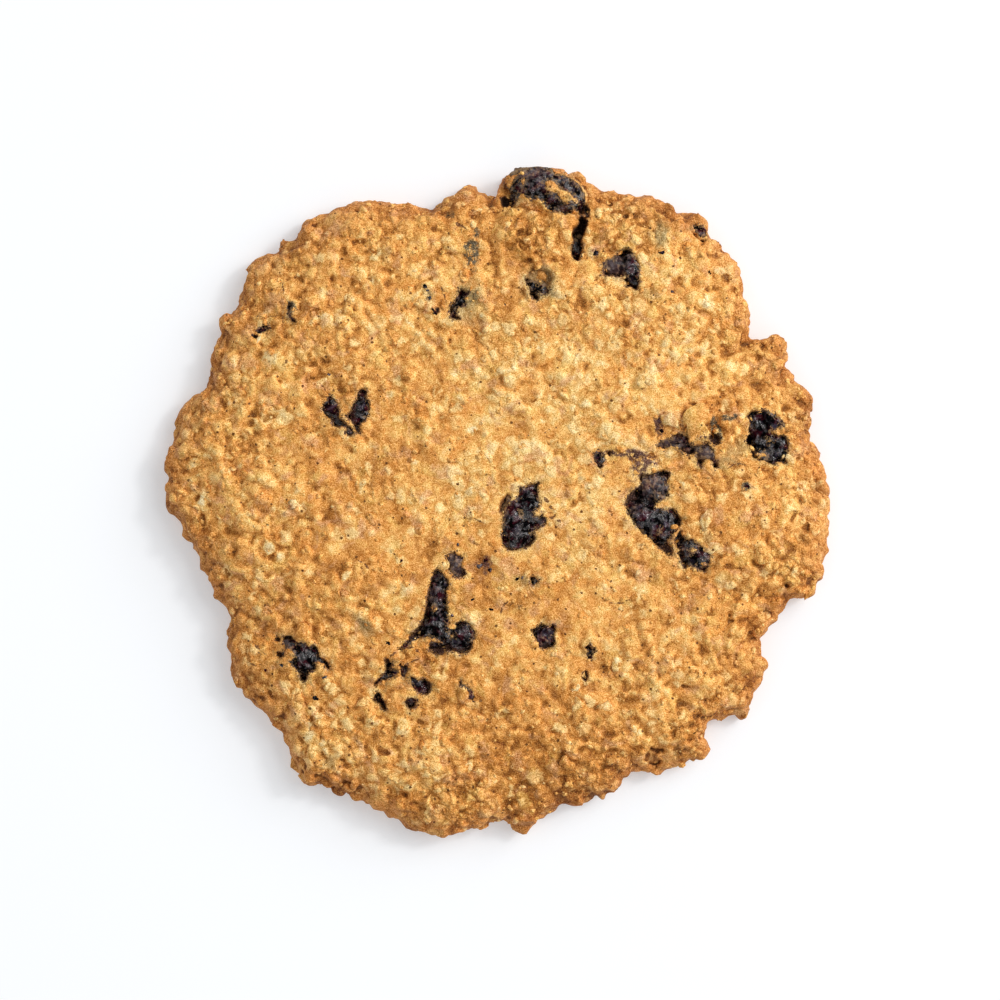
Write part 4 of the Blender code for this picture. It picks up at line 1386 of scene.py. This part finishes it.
grey, grain_height = grain(nodes, place, 0.85)
colour = add(nodes, "ShaderNodeVectorMath", operation="ADD", _0=colour,
             _1=add(nodes, "ShaderNodeCombineXYZ", X=grey, Y=grey, Z=grey).outputs[0]).outputs[0]
nodes.links.new(shown_to_light(nodes, colour), surface.inputs["Base Color"])
surface.inputs["Roughness"].default_value = 0.72
surface.inputs["Specular IOR Level"].default_value = 0.25
height = summed(nodes, maths(nodes, "MULTIPLY", oat_dome, ranged(nodes, crag, 0.0, 1.0, 0.18, 0.9)),
                (grain_height, 0.0, 0.05), (nugget, 0.5, 0.3))
bump = add(nodes, "ShaderNodeBump", Height=height, Strength=1.0, Distance=0.30 * MM)
nodes.links.new(bump.outputs["Normal"], surface.inputs["Normal"])

crust.data.materials.append(crust_paint)
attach(crust, "root")
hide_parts("dough")


# Loose grains: chips of cranberry skin, crumbs of dough and a few bare oat flakes. They were on
# the dough when it was baked, and are stuck in its face or to the fruit.

def highest(x, y):
    """The top of the crust or of the fruit there, and which way it faces."""
    best = (None, None)
    for surface_tree in (crust_tree, *berry_trees):
        hit, normal, _, _ = surface_tree.ray_cast(Vector((x * MM, y * MM, 0.05)), Vector((0, 0, -1)))
        if hit is not None and (best[0] is None or hit.z > best[0].z):
            best = (hit, normal)
    return best


def on_dough(x, y):
    """Whether what shows there is dough and not fruit."""
    on_crust = crust_tree.ray_cast(Vector((x * MM, y * MM, 0.05)), Vector((0, 0, -1)))[0]
    return on_crust is not None and on_crust.z > highest(x, y)[0].z - 0.01 * MM


def laid(places, flatness, sink):
    """Middles, axes and half sizes for grains laid at (x, y, half size, stretch) in millimetres."""
    centres, axes, halves = [], [], []
    for x, y, half, stretch in places:
        hit, normal = highest(x, y)
        if hit is None or normal.z < 0.3:
            continue
        up = (normal + Vector(draw.normal(0, 0.15, 3))).normalized()
        side = up.orthogonal().normalized()
        side.rotate(Matrix.Rotation(draw.uniform(0, math.tau), 3, up))
        axes.append(np.array((side, up.cross(side), up)).T)
        halves.append((half * MM * stretch, half * MM, half * MM * flatness))
        centres.append(np.array(hit) - np.array(up) * half * MM * flatness * sink)
    return np.array(centres), np.array(axes), np.array(halves)


def finish_grains(grains, paint, slot, **values):
    grains.data.materials.append(paint)
    for name, value in values.items():
        set_values(grains, name, np.repeat(value, len(ball_points)) if np.ndim(value) else
                   np.full(len(grains.data.vertices), value))
    grains.data.shade_smooth()
    set_points(grains, inside_box(points_of(grains)))
    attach(grains, "root")


def on_round(radius):
    turn, out = draw.uniform(0, math.tau), radius * math.sqrt(draw.uniform(0, 1))
    return out * math.cos(turn), out * math.sin(turn)


bit_places = [(x, y, half, draw.uniform(1.0, 1.5)) for x, y, half in SPECKS]
bit_places += [(*on_round(46), draw.uniform(0.06, 0.13), draw.uniform(1.2, 2.4)) for _ in range(30)]
bits = many("berry_bits", *laid(bit_places, 0.4, 0.6), 0.22)
finish_grains(bits, berry_paint, "dried_cranberry", dust=0.2, edge=4.0)

crumb_places = []
for several in SHOWN.values():
    for outline in several:
        corners = np.array(outline)
        for _ in range(int(len(corners) * 0.10)):
            corner, middle = corners[draw.integers(len(corners))], corners.mean(0)
            x, y = corner + (middle - corner) * draw.uniform(-0.08, 0.12) + draw.normal(0, 0.10, 2)
            crumb_places.append((x, y, draw.gamma(4.0, 0.05), draw.uniform(1.0, 1.9)))
on_fruit = len(crumb_places)
while len(crumb_places) < CRUMBS:
    x, y = on_round(49)
    if draw.uniform(0, 1) < 0.25 + 0.75 * (math.hypot(x, y) / 49) ** 2 and on_dough(x, y):
        crumb_places.append((x, y, draw.gamma(6.0, 0.045), draw.uniform(1.0, 1.6)))
laid_crumbs = laid(crumb_places, 0.7, 0.25)
paleness = draw.normal(0.2, 1.0, len(laid_crumbs[0]))
paleness[:on_fruit] = draw.normal(1.0, 0.6, min(on_fruit, len(paleness)))
loose_crumbs = many("dough_crumbs", *laid_crumbs, 0.20)
bare_values = {"shore": 4.0, "on_lump": 1.0, "crack_aside": 1.0, "crag": 0.5}
finish_grains(loose_crumbs, crust_paint, "baked_dough", tone=paleness, **bare_values)

flake_places = [(x, y, half, draw.uniform(1.2, 1.7)) for x, y, half in FLAKES]
flake_places += [(*on_round(45), draw.uniform(0.45, 0.75), draw.uniform(1.1, 1.7)) for _ in range(24)]
flakes = many("oat_flakes", *laid(flake_places, 0.30, 0.65), 0.16)
finish_grains(flakes, crust_paint, "baked_dough", tone=1.2, zone=0.16, **bare_values)
